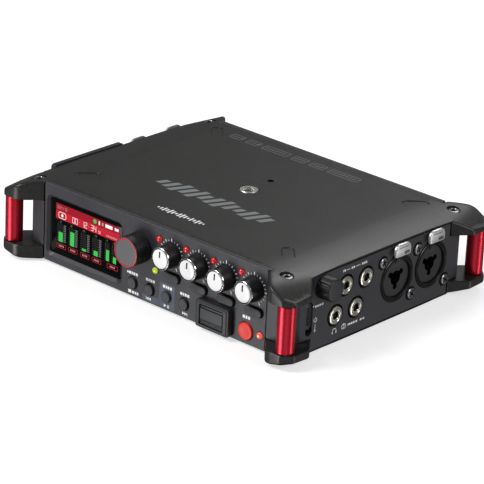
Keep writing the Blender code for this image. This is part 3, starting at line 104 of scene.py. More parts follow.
# ------------------------------------------------------------------ materials
def mat(name, base, rough=0.5, metal=0.0, grain=0.0, grain_mm=0.4, bump=0.0, rough_var=0.06,
        smudge=0.08, coat=0.0, emit=None, emit_strength=0.0, edge=0.0, spec=0.5):
    """A procedural material: fine grain, broad smudges, roughness variation and bump."""
    m = bpy.data.materials.new(name)
    m.use_nodes = True
    nodes, links = m.node_tree.nodes, m.node_tree.links
    shader = nodes["Principled BSDF"]
    for socket, value in (("Metallic", metal), ("Coat Weight", coat), ("Coat Roughness", 0.12),
                          ("IOR", 1.5), ("Specular IOR Level", spec)):
        shader.inputs[socket].default_value = value
    place = nodes.new("ShaderNodeTexCoord").outputs["Object"]

    def noise(scale, detail):
        node = nodes.new("ShaderNodeTexNoise")
        node.inputs["Scale"].default_value = scale
        node.inputs["Detail"].default_value = detail
        links.new(place, node.inputs["Vector"])
        return node

    def spread(source, low, high, to_low, to_high):
        """Stretches the middle range of a noise over the given values."""
        node = nodes.new("ShaderNodeMapRange")
        for socket, value in (("From Min", low), ("From Max", high), ("To Min", to_low), ("To Max", to_high)):
            node.inputs[socket].default_value = value
        links.new(source.outputs["Fac"], node.inputs["Value"])
        return node.outputs["Result"]

    fine = noise(1000.0 / grain_mm, 3)
    fine.inputs["Roughness"].default_value = 0.65
    broad = noise(45, 4)
    both = nodes.new("ShaderNodeMath")
    both.operation = "MULTIPLY"
    links.new(spread(fine, 0.35, 0.68, 1 - grain, 1 + grain * 1.6), both.inputs[0])
    links.new(spread(broad, 0.3, 0.7, 1 - smudge, 1 + smudge), both.inputs[1])
    tone = nodes.new("ShaderNodeVectorMath")
    tone.operation = "SCALE"
    tone.inputs[0].default_value = base
    links.new(both.outputs["Value"], tone.inputs["Scale"])
    links.new(tone.outputs["Vector"], shader.inputs["Base Color"])
    links.new(spread(broad, 0.3, 0.7, max(0.02, rough - rough_var), min(1.0, rough + rough_var)),
              shader.inputs["Roughness"])
    normal = None
    if edge > 0:
        soft = nodes.new("ShaderNodeBevel")
        soft.samples = 4
        soft.inputs["Radius"].default_value = edge * MM
        normal = soft.outputs["Normal"]
    if bump > 0:
        rise = nodes.new("ShaderNodeBump")
        rise.inputs["Strength"].default_value = 1.0
        rise.inputs["Distance"].default_value = bump * MM
        links.new(fine.outputs["Fac"], rise.inputs["Height"])
        if normal:
            links.new(normal, rise.inputs["Normal"])
        normal = rise.outputs["Normal"]
    if normal:
        links.new(normal, shader.inputs["Normal"])
    if emit:
        shader.inputs["Emission Color"].default_value = (*emit, 1)
        shader.inputs["Emission Strength"].default_value = emit_strength
    return m


SHELL = mat("shell_coat", (0.0160, 0.0160, 0.0150), 0.36, 0.0, grain=0.55, grain_mm=0.7, bump=0.012,
            smudge=0.03, rough_var=0.02, spec=0.42)
PANEL = mat("panel_satin", (0.029, 0.029, 0.036), 0.40, 0.0, grain=0.08, grain_mm=0.3, bump=0.004,
            edge=0.3, spec=0.5)
SIDE = mat("side_satin", (0.030, 0.030, 0.037), 0.42, 0.0, grain=0.08, grain_mm=0.3, bump=0.004,
           edge=0.3, spec=0.5)
BLACK = mat("black_moulded", (0.012, 0.012, 0.012), 0.42, grain=0.12, grain_mm=0.25, bump=0.01)
GLOSSY = mat("black_gloss", (0.008, 0.008, 0.008), 0.22, grain=0.08, grain_mm=0.3, bump=0.004)
RUBBER = mat("key_rubber", (0.042, 0.044, 0.048), 0.55, grain=0.12, grain_mm=0.2, bump=0.01)
# a darker rubber for ribs, ridges and faces, and also painted shade: the side walls of the rubber keys and of
# the adapter lid take it under a lighter top
DARK_RUBBER_AND_WALL_SHADE = mat("dark_rubber_and_wall_shade", (0.022, 0.023, 0.026), 0.5, grain=0.12, grain_mm=0.2, bump=0.01)
# black, and painted shade: near-black and almost without gloss, put inside holes, grooves and recesses where
# shade falls, and on the display module
BLACK_AND_RECESS_SHADE = mat("black_and_recess_shade", (0.003, 0.003, 0.003), 0.8, grain=0.1, spec=0.1)
MARK = mat("moulded_mark", (0.07, 0.07, 0.07), 0.4, grain=0.1)
RED_POST = mat("red_anodised", (0.62, 0.020, 0.040), 0.33, 0.85, grain=0.03, grain_mm=0.4, bump=0.0005,
               rough_var=0.01, smudge=0.02, coat=0.12)
RED_KEY = mat("red_key", (0.76, 0.036, 0.024), 0.45, grain=0.06, grain_mm=0.2, bump=0.01)
RED_RING = mat("red_ring", (0.42, 0.02, 0.035), 0.4, grain=0.05)
LED_RED = mat("red_lens", (0.55, 0.01, 0.012), 0.12, grain=0.05, coat=0.6,
              emit=(0.9, 0.02, 0.01), emit_strength=0.25)
LED_GREEN = mat("green_lens", (0.40, 0.52, 0.02), 0.15, grain=0.05, coat=0.6,
                emit=(0.6, 0.9, 0.05), emit_strength=0.45)
LED_REC = mat("record_lens", (0.8, 0.05, 0.02), 0.15, grain=0.05, coat=0.6,
              emit=(1.0, 0.06, 0.025), emit_strength=1.1)
LED_CORE = mat("record_core", (1.0, 0.5, 0.3), 0.2, grain=0.02,
               emit=(1.0, 0.42, 0.22), emit_strength=1.6)
NICKEL = mat("nickel_plate", (0.72, 0.69, 0.61), 0.24, 1.0, grain=0.04, grain_mm=0.4, bump=0.0005)
SILVER = mat("satin_silver", (0.86, 0.86, 0.85), 0.28, 1.0, grain=0.05, grain_mm=0.2, bump=0.003)
STEEL = mat("black_steel", (0.30, 0.30, 0.31), 0.25, 0.95, grain=0.1, grain_mm=0.2, bump=0.006)
RIM = mat("knob_rim", (0.78, 0.78, 0.78), 0.22, 1.0, grain=0.04)
TAB = mat("tab_silver", (0.74, 0.74, 0.735), 0.36, 0.7, grain=0.03, grain_mm=0.2, bump=0.002)
WHITE = mat("knob_white", (0.95, 0.95, 0.95), 0.30, grain=0.03, grain_mm=0.2, bump=0.003)
GREY_FACE = mat("dial_face", (0.115, 0.115, 0.122), 0.42, grain=0.10, grain_mm=0.25, bump=0.006)
INSERT = mat("connector_insert", (0.020, 0.021, 0.022), 0.36, grain=0.1, grain_mm=0.25, bump=0.008)
INK = mat("white_print", (0.84, 0.84, 0.84), 0.6, grain=0.08, grain_mm=0.15)
INK_GREY = mat("grey_print", (0.19, 0.20, 0.205), 0.5, grain=0.10, grain_mm=0.3)
PATCH = mat("blue_grey_print", (0.060, 0.070, 0.105), 0.42, grain=0.08, grain_mm=0.3, bump=0.003)
GLASS = mat("display_glass", (0.002, 0.002, 0.002), 0.06, grain=0.02, spec=0.12, rough_var=0.01)
BOARD = mat("circuit_board", (0.01, 0.09, 0.03), 0.45, grain=0.25, grain_mm=1.5, bump=0.02)
FOOT = mat("foot_rubber", (0.015, 0.015, 0.015), 0.8, grain=0.2, grain_mm=0.5, bump=0.03)


def glow(name, color, strength):
    """A lit part of the screen's picture."""
    return mat(name, tuple(c * 0.3 for c in color), 0.4, grain=0.03, spec=0.05, emit=color,
               emit_strength=strength)


UI_RED = glow("ui_red", (0.56, 0.018, 0.034), 0.72)
UI_DARK_RED = glow("ui_dark_red", (0.36, 0.012, 0.024), 0.7)
UI_WHITE = glow("ui_white", (0.9, 0.9, 0.9), 0.8)
UI_PINK = glow("ui_pale", (0.75, 0.42, 0.42), 0.5)
UI_GREEN = glow("ui_green", (0.05, 0.55, 0.09), 0.8)
UI_GREY = glow("ui_grey", (0.25, 0.25, 0.25), 0.5)
UI_DIM = glow("ui_dim", (0.02, 0.02, 0.02), 0.4)
UI_OLIVE = glow("ui_olive", (0.45, 0.5, 0.1), 0.4)


# ------------------------------------------------------------------ places
def axes(right, up, out, origin):
    """Puts local millimetres into the world, with local z pointing out of the case."""
    m = Matrix((Vector(right), Vector(up), Vector(out))).transposed().to_4x4()
    return Matrix.Translation(Vector(origin) * MM) @ m @ Matrix.Scale(MM, 4)


def front(x, z, out=0.0):
    return axes((1, 0, 0), (0, 0, 1), (0, -1, 0), (x, -FACE_Y - out, z + BODY_LIFT))


def rear(x, z, out=0.0):
    return axes((-1, 0, 0), (0, 0, 1), (0, 1, 0), (x, FACE_Y + out, z + BODY_LIFT))


def right(y, z, out=0.0):
    return axes((0, 1, 0), (0, 0, 1), (1, 0, 0), (FACE_X + out, y, z + BODY_LIFT))


def left(y, z, out=0.0):
    return axes((0, -1, 0), (0, 0, 1), (-1, 0, 0), (-FACE_X - out, y, z + BODY_LIFT))


def top(x, y, z=ROOF_Z):
    return axes((1, 0, 0), (0, 1, 0), (0, 0, 1), (x, y, z + BODY_LIFT))


def under(x, y):
    return axes((1, 0, 0), (0, -1, 0), (0, 0, -1), (x, y, BODY_LIFT))


# ------------------------------------------------------------------ mesh tools
def circle(r, n=32, cx=0.0, cy=0.0, start=0.0):
    turns = [start + 2 * math.pi * i / n for i in range(n)]
    return [(cx + r * math.cos(a), cy + r * math.sin(a)) for a in turns]


def rrect(w, h, r, n=6, cx=0.0, cy=0.0):
    """A rectangle with rounded corners, anticlockwise."""
    r = min(r, w / 2 - 1e-4, h / 2 - 1e-4)
    pts = []
    for sx, sy, a0 in ((1, -1, -90), (1, 1, 0), (-1, 1, 90), (-1, -1, 180)):
        ox, oy = sx * (w / 2 - r), sy * (h / 2 - r)
        for i in range(n + 1):
            a = math.radians(a0 + 90 * i / n)
            pts.append((cx + ox + r * math.cos(a), cy + oy + r * math.sin(a)))
    return pts


def loops(rings):
    """Points and closed edges of several outlines, as the triangulation takes them."""
    verts, edges = [], []
    for ring in rings:
        s, n = len(verts), len(ring)
        verts += [Vector(p) for p in ring]
        edges += [(s + i, s + (i + 1) % n) for i in range(n)]
    return verts, edges


class Build:
    """Collects faces in local millimetres, with a material for each."""

    def __init__(self):
        self.bm = bmesh.new()
        self.mats = []

    def face(self, verts, m):
        if m not in self.mats:
            self.mats.append(m)
        self.bm.faces.new(verts).material_index = self.mats.index(m)

    def ring(self, pts, z):
        return [self.bm.verts.new((p[0], p[1], z)) for p in pts]

    def bridge(self, a, b, m):
        n = len(a)
        for i in range(n):
            j = (i + 1) % n
            self.face([a[i], a[j], b[j], b[i]], m)

    def lathe(self, profile, m, seg=48, cx=0.0, cy=0.0, mats=None):
        """profile: (r, z) from the outside bottom to the axis at the top; mats: one per span."""
        prev = None
        for k, (r, z) in enumerate(profile):
            cur = [self.bm.verts.new((cx, cy, z))] if r <= 1e-6 else self.ring(circle(r, seg, cx, cy), z)
            use = m if mats is None or k == 0 else mats[k - 1]
            if prev is not None:
                if len(cur) == 1 and len(prev) > 1:
                    for i in range(seg):
                        self.face([prev[i], prev[(i + 1) % seg], cur[0]], use)
                elif len(prev) == 1 and len(cur) > 1:
                    for i in range(seg):
                        self.face([prev[0], cur[(i + 1) % seg], cur[i]], use)
                elif len(prev) > 1:
                    self.bridge(prev, cur, use)
            prev = cur

    def prism(self, pts, z0, z1, m, bevel=0.0, side=None):
        """An outline raised from z0 to z1, with a rounded top edge where bevel is given."""
        side = side or m
        rows = [self.ring(pts, z0)]
        if bevel > 0:
            rows.append(self.ring(pts, z1 - bevel))
            for a in (math.pi / 6, math.pi / 3, math.pi / 2):
                rows.append(self.ring(offset(pts, bevel * (1 - math.cos(a))),
                                      z1 - bevel + bevel * math.sin(a)))
        else:
            rows.append(self.ring(pts, z1))
        for a, b in zip(rows, rows[1:]):
            self.bridge(a, b, side if b is not rows[-1] or bevel == 0 else m)
        self.face(rows[-1], m)
        self.face(list(reversed(rows[0])), side)

    def flat(self, outer, holes, z, m, flip=False):
        """A flat area with holes."""
        v2, _, f2, _, _, _ = delaunay_2d_cdt(*loops([outer, *holes]), [], 0, 1e-6)
        made = [self.bm.verts.new((v.x, v.y, z)) for v in v2]
        for f in f2:
            c = sum((v2[i] for i in f), Vector((0, 0))) / len(f)
            if inside(c, outer) and not any(inside(c, h) for h in holes):
                self.face([made[i] for i in (reversed(f) if flip else f)], m)

    def hole(self, pts, z0, z1, m, floor=None):
        """The wall of a hole from z0 down to z1, and its floor."""
        a, b = self.ring(pts, z0), self.ring(pts, z1)
        self.bridge(b, a, m)
        if floor:
            self.face(b, floor)

    def obj(self, name, place, body, replaces=(), smooth=32):
        """Finishes the mesh as a piece on a body; smooth is the sharpest angle that stays shaded."""
        bmesh.ops.remove_doubles(self.bm, verts=self.bm.verts, dist=1e-4)
        loose = [v for v in self.bm.verts if not v.link_faces]
        bmesh.ops.delete(self.bm, geom=loose, context="VERTS")
        bmesh.ops.recalc_face_normals(self.bm, faces=self.bm.faces)
        self.bm.transform(place)
        me = bpy.data.meshes.new(name)
        self.bm.to_mesh(me)
        self.bm.free()
        for m in self.mats:
            me.materials.append(m)
        me.shade_smooth()
        me.set_sharp_from_angle(angle=math.radians(smooth))
        o = bpy.data.objects.new(name, me)
        bpy.context.scene.collection.objects.link(o)
        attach(o, body)
        if replaces:
            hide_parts(*replaces)


def offset(pts, d):
    """The outline moved inwards by d, for an anticlockwise outline."""
    out = []
    n = len(pts)
    for i in range(n):
        a, b, c = Vector(pts[i - 1]), Vector(pts[i]), Vector(pts[(i + 1) % n])
        e1, e2 = (b - a), (c - b)
        if e1.length < 1e-9:
            e1 = e2
        if e2.length < 1e-9:
            e2 = e1
        e1.normalize()
        e2.normalize()
        n1, n2 = Vector((-e1.y, e1.x)), Vector((-e2.y, e2.x))
        nn = n1 + n2
        if nn.length < 1e-9:
            nn = n1
        nn.normalize()
        k = 1.0 / max(0.5, nn.dot(n1))
        out.append((b.x + nn.x * d * k, b.y + nn.y * d * k))
    return out


def inside(p, poly):
    x, y = p[0], p[1]
    hit = False
    for i, (xi, yi) in enumerate(poly):
        xj, yj = poly[i - 1]
        if (yi > y) != (yj > y) and x < (xj - xi) * (y - yi) / (yj - yi) + xi:
            hit = not hit
    return hit


def area(p):
    return sum(p[i - 1][0] * p[i][1] - p[i][0] * p[i - 1][1] for i in range(len(p))) / 2


def dress(nodes, material):
    """Gives CAD nodes that are carried over a better material."""
    for name in nodes:
        me = NODES[name].data
        me.materials.clear()
        me.materials.append(material)


class Ink(Build):
    """Flat prints, drawn as thin raised ink."""

    def poly(self, pts, z=INK_Z, m=INK):
        self.prism(pts, 0.0, z, m)

    def box(self, x0, y0, x1, y1, m=INK, z=INK_Z):
        self.poly([(x0, y0), (x1, y0), (x1, y1), (x0, y1)], z, m)

    def bar(self, x0, y0, x1, y1, w, m=INK, z=INK_Z):
        a, b = Vector((x0, y0)), Vector((x1, y1))
        d = (b - a).normalized()
        n = Vector((-d.y, d.x)) * w / 2
        self.poly([tuple(a - n), tuple(b - n), tuple(b + n), tuple(a + n)], z, m)

    def outline(self, ring, w, m=INK, z=INK_Z):
        for i, p in enumerate(ring):
            self.bar(*p, *ring[(i + 1) % len(ring)], w, m, z)

    def arc(self, cx, cy, r, a0, a1, w):
        steps = 16
        turns = [math.radians(a0 + (a1 - a0) * i / steps) for i in range(steps + 1)]
        lo, hi = r - w / 2, r + w / 2
        for t0, t1 in zip(turns, turns[1:]):
            self.poly([(cx + q * math.cos(t), cy + q * math.sin(t))
                       for q, t in ((lo, t0), (hi, t0), (hi, t1), (lo, t1))])

    def dashes(self, x, y, widths, h):
        """A row of plain bars that stands in for a word."""
        for w in widths:
            self.box(x, y, x + w, y + h)
            x += w + 0.35


# ------------------------------------------------------------------ shells
def round_path(corners):
    """A path through (x, y, radius) corners, each rounded in seven steps."""
    n = 7
    out = []
    c = len(corners)
    for i, (x, y, r) in enumerate(corners):
        p = Vector((x, y))
        a = (Vector(corners[i - 1][:2]) - p)
        b = (Vector(corners[(i + 1) % c][:2]) - p)
        if r <= 0:
            out.append(tuple(p))
            continue
        a.normalize()
        b.normalize()
        half = a.angle(b) / 2
        t = r / math.tan(half)
        s, e = p + a * t, p + b * t
        ctr = p + (a + b).normalized() * (r / math.sin(half))
        v0, v1 = s - ctr, e - ctr
        ang = math.atan2(v0.x * v1.y - v0.y * v1.x, v0.dot(v1))
        for k in range(n + 1):
            q = ang * k / n
            out.append((ctr.x + v0.x * math.cos(q) - v0.y * math.sin(q),
                        ctr.y + v0.x * math.sin(q) + v0.y * math.cos(q)))
    return out


def densify(pts, step):
    """Adds points so that no edge is longer than step."""
    out = []
    for i, p in enumerate(pts):
        q = pts[(i + 1) % len(pts)]
        d = math.hypot(q[0] - p[0], q[1] - p[1])
        k = max(1, int(math.ceil(d / step)))
        for j in range(k):
            out.append((p[0] + (q[0] - p[0]) * j / k, p[1] + (q[1] - p[1]) * j / k))
    return out


def shell_outline():
    """The case seen from above, with its four ears."""
    quarter = [(81.35, EAR_Y, 1.5), (88.28, 54.6, 3.0), (88.28, 64.8, 2.8), (84.1, 68.98, 2.8),
               (75.9, 68.98, 6.0), (EAR_X, 59.9, 0.0), (EAR_X, 57.4, 0.0)]
    pts = []
    for sx, sy in ((1, 1), (-1, 1), (-1, -1), (1, -1)):
        q = [(sx * x, sy * y, r) for x, y, r in quarter]
        pts += q if sx * sy > 0 else q[::-1]
    return densify(round_path(pts), 2.2)


def smin(a, b, k):
    """The smaller value, with the change from one to the other blended over k."""
    low = min(a, b)
    return -k * math.log(math.exp(-(a - low) / k) + math.exp(-(b - low) / k)) + low


def roof_height(x, y):
    """Flat in the middle, rolled off towards the sides and sloping down over the ears."""
    ax, ay = abs(x), abs(y)
    t = max(0.0, (ax - 60.0) / 21.4)
    base = 38.06 - 2.1 * t ** 1.8
    ear = 36.6 - 0.577 * (ax - 75.9) - 0.107 * (ay - 69)
    if ear - base > 12:
        return base
    return smin(base, ear, 0.8)


def floor_height(x, y):
    """Flat, rising a little over the lower ears."""
    ax, ay = abs(x), abs(y)
    rise = 0.24 * (ax - 75.9) + 0.05 * (ay - 69) + 0.3
    return -smin(0.0, -rise, 0.35) if rise > -3 else 0.0


def is_ear(p):
    return abs(p[0]) > EAR_X - 0.05 and abs(p[1]) > EAR_Y - 0.05


def shell(name, node, height, sign, rims, radius, holes, grips, wells):
    """One half of the case: its outer surface, rounded edge, outer wall and ear faces.
    rims holds where the wall ends at the ears, the sides and the front and rear; radius holds the
    edge rounding by the front panel and round the ears."""
    b = Build()
    outline = shell_outline()
    count = len(outline)
    rim_ear, rim_side, rim_front = rims
    rim_bevel = 0.35
    inward = [(q[0] - p[0], q[1] - p[1]) for p, q in zip(outline, offset(outline, 1.0))]

    def rim(p, q):
        if is_ear(p) and is_ear(q):
            return rim_ear
        return rim_side if abs(p[0] + q[0]) / 2 > 80 else rim_front

    def edge_radius(p, d, low):
        """The rounding that fits between the outer surface and the edge below it."""
        ax, ay = abs(p[0]), abs(p[1])
        near = math.hypot(ax - EAR_X, ay - 58.6)
        wish = radius[0]
        if ax >= EAR_X + 0.05:
            wish += (radius[1] - radius[0]) * min(1.0, max(0.0, near - 2.5) / 6)
        r = wish
        for _ in range(12):
            room = abs(height(p[0] + d[0] * r, p[1] + d[1] * r) - low) - rim_bevel
            r = min(wish, max(0.25, 0.5 * r + 0.5 * room))
        return r

    radii = [edge_radius(p, d, rim(p, outline[(i + 1) % count]))
             for i, (p, d) in enumerate(zip(outline, inward))]
    for _ in range(4):
        radii = [min(r, (radii[i - 1] + 2 * r + radii[(i + 1) % count]) / 4) for i, r in enumerate(radii)]
    rings = []
    for k in range(6):
        a = math.pi / 2 * k / 5
        pull, drop = 1 - math.cos(a), 1 - math.sin(a)
        rings.append(([(p[0] + d[0] * r * pull, p[1] + d[1] * r * pull)
                       for p, d, r in zip(outline, inward, radii)], [r * drop for r in radii]))
    inner = rings[-1][0]

    # the outer surface, finer by the ears than in the middle
    verts, edges = loops([inner, *holes, *(ring for grip in grips for ring in grip)])
    keep_out = [offset(h, -0.6) for h in holes] + [offset(wide, -0.6) for wide, _ in grips]
    keep_in = offset(inner, 0.5)
    y = -66.0
    while y <= 66:
        x = -86.0
        while x <= 86:
            p = (x + (0.6 if int(y) % 2 else 0), y)
            if inside(p, inner) and inside(p, keep_in) and not any(inside(p, ring) for ring in keep_out):
                verts.append(Vector(p))
            x += 1.6 if abs(x) > 58 else 6.0
        y += 1.6 if abs(y) > 44 else 4.0
    v2, _, f2, _, _, _ = delaunay_2d_cdt(verts, edges, [], 0, 1e-5)
    dents = [offset(deep, -0.02) for _, deep in grips]

    def surface(p):
        return height(*p) - sign * (0.45 if any(inside(p, dent) for dent in dents) else 0.0)

    made = [b.bm.verts.new((v.x, v.y, surface((v.x, v.y)))) for v in v2]
    for f in f2:
        c = sum((v2[i] for i in f), Vector((0, 0))) / len(f)
        if inside(c, inner) and not any(inside(c, h) for h in holes):
            b.face([made[i] for i in f], SHELL)

    # the rounded edge, the outer wall and the ears' inner faces
    prev = None
    for pts, drops in reversed(rings):
        cur = [b.bm.verts.new((p[0], p[1], height(*q) - sign * drop))
               for p, q, drop in zip(pts, inner, drops)]
        if prev:
            b.bridge(prev, cur, SHELL)
        prev = cur
    small = offset(outline, rim_bevel)
    for i in range(count):
        j = (i + 1) % count
        z = rim(outline[i], outline[j])
        lip = z + sign * rim_bevel
        lo = [b.bm.verts.new((*outline[i], lip)), b.bm.verts.new((*outline[j], lip))]
        b.face([prev[i], prev[j], lo[1], lo[0]], SHELL)
        if z == rim_ear:
            b.face([lo[0], lo[1], b.bm.verts.new((*small[j], z)), b.bm.verts.new((*small[i], z))], SHELL)
    for sx, sy in ((1, 1), (-1, 1), (-1, -1), (1, -1)):
        pts = ear_order(small, outline, sx, sy)
        pts += [(sx * 66.5, sy * 46.9), (sx * 66.5, sy * 57.2)]
        b.flat(pts if area(pts) >= 0 else pts[::-1], [], rim_ear, SHELL, flip=sign > 0)
    for pts, low, m in wells:
        a = [b.bm.verts.new((*p, height(*p))) for p in pts]
        c = b.ring(pts, low)
        b.bridge(a, c, m)
        b.face(c, m)
    b.obj(name, top(0, 0, 0), ROOT, (node,), smooth=38)


def ear_order(small, outline, sx, sy):
    """The ear's own stretch of the outline, in order."""
    n = len(outline)
    flags = [is_ear(p) and p[0] * sx > 0 and p[1] * sy > 0 for p in outline]
    out = []
    i = next(i for i in range(n) if flags[i] and not flags[i - 1])
    while flags[i % n]:
        out.append(small[i % n])
        i += 1
    if abs(out[0][0]) > 75:          # the list ends beside the roof, so the closing corner comes last
        return out
    return out[::-1]


def stadium(cx, cy, length, width, angle):
    r = width / 2
    h = length / 2 - r
    turns = [math.pi * (k / 14 - 0.5) for k in range(15)]
    pts = [(h + r * math.cos(a), r * math.sin(a)) for a in turns]
    pts += [(-h - r * math.cos(a), -r * math.sin(a)) for a in turns]
    c, s = math.cos(angle), math.sin(angle)
    return [(cx + x * c - y * s, cy + x * s + y * c) for x, y in pts]


def make_shells():
    wells = [(circle(3.15, 36, sx * EAR_SCREW[0], sy * EAR_SCREW[1]), 34.4, SHELL)
             for sx in (1, -1) for sy in (1, -1)]
    wells.append((circle(4.65, 40, 0, THREAD_Y), 36.5, SHELL))
    # the pin hole's wall and floor are near-black: painted shade inside the hole
    wells.append((circle(1.5, 24, -0.5, 17.4), 36.4, BLACK_AND_RECESS_SHADE))
    grips = []
    for sx in (1, -1):
        for sy, gy in ((1, 46.6), (-1, -39.4)):
            turn = math.radians(45) * sx * sy
            grips.append([stadium(sx * 60.6, gy, length, length - 6.6, turn) for length in (12.4, 11.4)])
    shell("top_cover", "top_shell", roof_height, 1, (28.6, 35.1, 36.0), (0.8, 1.3),
          [pts for pts, _, _ in wells], grips, wells)
    shell("bottom_cover", "bottom_shell", floor_height, -1, (6.55, 0.72, 1.2), (0.6, 1.2),
          [rrect(60.6, 54.6, 0.4, 3)], [], [])


make_shells()


# ------------------------------------------------------------------ posts and screws
def make_posts():
    for corner, sx, sy in (("front_left", -1, -1), ("front_right", 1, -1),
                           ("rear_left", -1, 1), ("rear_right", 1, 1)):
        b = Build()
        b.lathe([(0, 6.7), (3.7, 6.7), (4.02, 6.95), (4.05, 7.3), (4.05, 27.9), (4.02, 28.2), (3.7, 28.4),
                 (0, 28.4)], RED_POST, 64)
        b.obj("post_" + corner, top(sx * POST[0], sy * POST[1], 0),
              ROOT, ("corner_post_" + corner,), 40)
        s = Build()
        hexa = circle(1.45, 6, 0, 0, 0.4)
        s.lathe([(2.8, -1.9), (2.8, -0.35), (2.68, -0.12), (2.45, 0)], STEEL, 40)
        s.flat(circle(2.45, 40), [circle(1.7, 40)], 0, STEEL)
        s.lathe([(1.7, 0), (1.6, -0.15)], STEEL, 40)
        s.flat(circle(1.6, 40), [hexa], -0.15, STEEL)
        # the socket's floor is near-black: painted shade
        s.hole(hexa, -0.15, -1.3, STEEL, BLACK_AND_RECESS_SHADE)
        s.obj("socket_screw_" + corner, top(sx * EAR_SCREW[0], sy * EAR_SCREW[1], POST_SCREW_Z), ROOT,
              ("ear_screw_" + corner,), 30)


make_posts()


def make_thread():
    t = Build()
    # the bottom of the threaded hole is near-black: painted shade
    t.lathe([(4.4, -7), (4.4, -0.3), (4.2, -0.02), (3.0, -0.02), (2.6, -0.35), (2.5, -0.8), (2.5, -5.9),
             (0, -5.9)], SILVER, 48, mats=[SILVER] * 5 + [NICKEL, BLACK_AND_RECESS_SHADE])
    for k in range(9):
        z = -0.9 - 0.5 * k
        t.lathe([(2.5, z), (2.25, z - 0.2), (2.5, z - 0.4)], NICKEL, 32)
    t.obj("thread_insert", top(0, THREAD_Y), ROOT, ("top_thread_insert",), 35)


make_thread()


# ------------------------------------------------------------------ front panel furniture
dress(["front_panel", "rear_panel"], PANEL)
dress(["right_panel", "left_panel"], SIDE)


def knurled_side(b, r, z0, z1, m):
    """A side wall with diamond knurling."""
    teeth, depth, rows = 34, 0.42, 26
    seg = teeth * 4
    prev = None
    for k in range(rows + 1):
        z = z0 + (z1 - z0) * k / rows
        ring = []
        for i in range(seg):
            a = 2 * math.pi * i / seg
            p = a * teeth / 2
            q = (z - z0) * math.pi / 1.25
            d = abs(math.sin(p + q)) * abs(math.sin(p - q))
            fade = min(1.0, k / 2.0, (rows - k) / 2.0)
            rr = r - depth * (1 - math.sqrt(d)) * fade
            ring.append(b.bm.verts.new((rr * math.cos(a), rr * math.sin(a), z)))
        if prev:
            b.bridge(prev, ring, m)
        prev = ring


def make_jog():
    b = Build()
    b.lathe([(5.6, 0.9), (6.7, 0.9), (7.0, 1.1)], BLACK, 96)
    knurled_side(b, 7.05, 1.1, 8.6, BLACK)
    b.lathe([(7.05, 8.6), (7.05, 8.85), (6.9, 9.15), (6.78, 9.22), (6.15, 9.22), (6.05, 9.05), (0, 9.12)],
            BLACK, 96, mats=[BLACK, BLACK, RED_RING, RED_RING, RED_RING, GREY_FACE])
    b.obj("jog_wheel", front(-7.3, 24.8), "jog_dial", ("jog_dial",), 50)
    dress(["jog_shaft"], STEEL)


make_jog()


def make_gain_knobs():
    for i, x in enumerate(KNOB_X):
        b = Build()
        # the groove between the silver rim and the white face is near-black: painted shade in the groove
        b.lathe([(2.0, 0.5), (5.45, 0.5), (5.68, 0.7), (5.66, 1.3), (5.42, 2.0), (5.3, 6.3), (5.26, 6.55),
                 (5.24, 6.62), (5.16, 6.9), (4.98, 7.05), (4.80, 7.1), (4.66, 6.95), (4.42, 6.9),
                 (4.30, 7.12), (4.1, 7.24), (2.4, 7.32), (0, 7.35)], BLACK, 64,
                mats=[BLACK] * 7 + [RIM, RIM, RIM, BLACK_AND_RECESS_SHADE, BLACK_AND_RECESS_SHADE, WHITE, WHITE, WHITE, WHITE])
        b.prism(rrect(0.7, 2.9, 0.2, 3, 0, 2.1), 7.2, 7.39, GLOSSY)
        node = "gain_knob_%d" % (i + 1)
        b.obj("gain_cap_%d" % (i + 1), front(x, KNOB_Z), node, (node,), 30)


make_gain_knobs()


def round_key(name, node, x, z, r, proud, m, dish, side):
    b = Build()
    # the side wall takes the side material; for the rubber keys that is the darker rubber, painted shade
    # under the lighter top
    b.lathe([(r, -1.8), (r, proud - 0.45), (r - 0.13, proud - 0.15), (r - 0.45, proud)], side, 48)
    b.lathe([(r - 0.45, proud), (r * 0.6, proud - dish * 0.5), (0, proud - dish)], m, 48)
    b.obj(name, front(x, z), node, (node,), 40)


def make_keys():
    for x, node in zip(KEY_X, ("menu_key", "monitor_key", "play_key", "function_key")):
        round_key(node.replace("_key", "_button"), node, x, KEY_Z, 2.7, 1.35, RUBBER, 0.12, DARK_RUBBER_AND_WALL_SHADE)
    round_key("record_button", "record_key", 56.6, 6.3, 3.95, 1.05, RED_KEY, 0.25, RED_KEY)
    for i, x in enumerate(KNOB_X):
        b = Build()
        # the pill key's walls take the darker rubber: painted shade under its lighter top
        b.prism(rrect(9.8, 3.9, 1.94, 10), -1.8, 1.45, RUBBER, 0.4, DARK_RUBBER_AND_WALL_SHADE)
        node = "track_key_%d" % (i + 1)
        b.obj("track_button_%d" % (i + 1), front(x + 1.0, 16.9), node, (node,), 40)


make_keys()


def dome(b, m, height):
    turns = [math.radians(a) for a in range(0, 90, 12)]
    curve = [(1.5 * math.cos(t), 0.25 + height * math.sin(t)) for t in turns]
    b.lathe([(1.5, 0.1), *curve, (0, 0.25 + height)], m, 32)


def make_lamps():
    for i, x in enumerate(KNOB_X):
        b = Build()
        b.lathe([(1.75, 0.0), (1.7, 0.25), (1.52, 0.28)], BLACK, 32)
        dome(b, LED_RED, 1.25)
        b.obj("track_lamp_%d" % (i + 1), front(x - 6.9, 32.4), ROOT)
    for name, node, x, z, m in (("power_lamp", "status_lamp", 2.5, 17.0, LED_GREEN),
                                ("rec_lamp", "record_lamp", 64.6, 6.8, LED_REC)):
        b = Build()
        b.lathe([(1.85, 0.0), (1.8, 0.2), (1.52, 0.25)], BLACK, 32)
        dome(b, m, 1.0)
        if name == "rec_lamp":
            b.lathe([(0.62, 1.0), (0.5, 1.25), (0, 1.36)], LED_CORE, 24)
        b.obj(name, front(x, z), ROOT, (node,))
    dress(["track_light_guide"], LED_RED)


make_lamps()


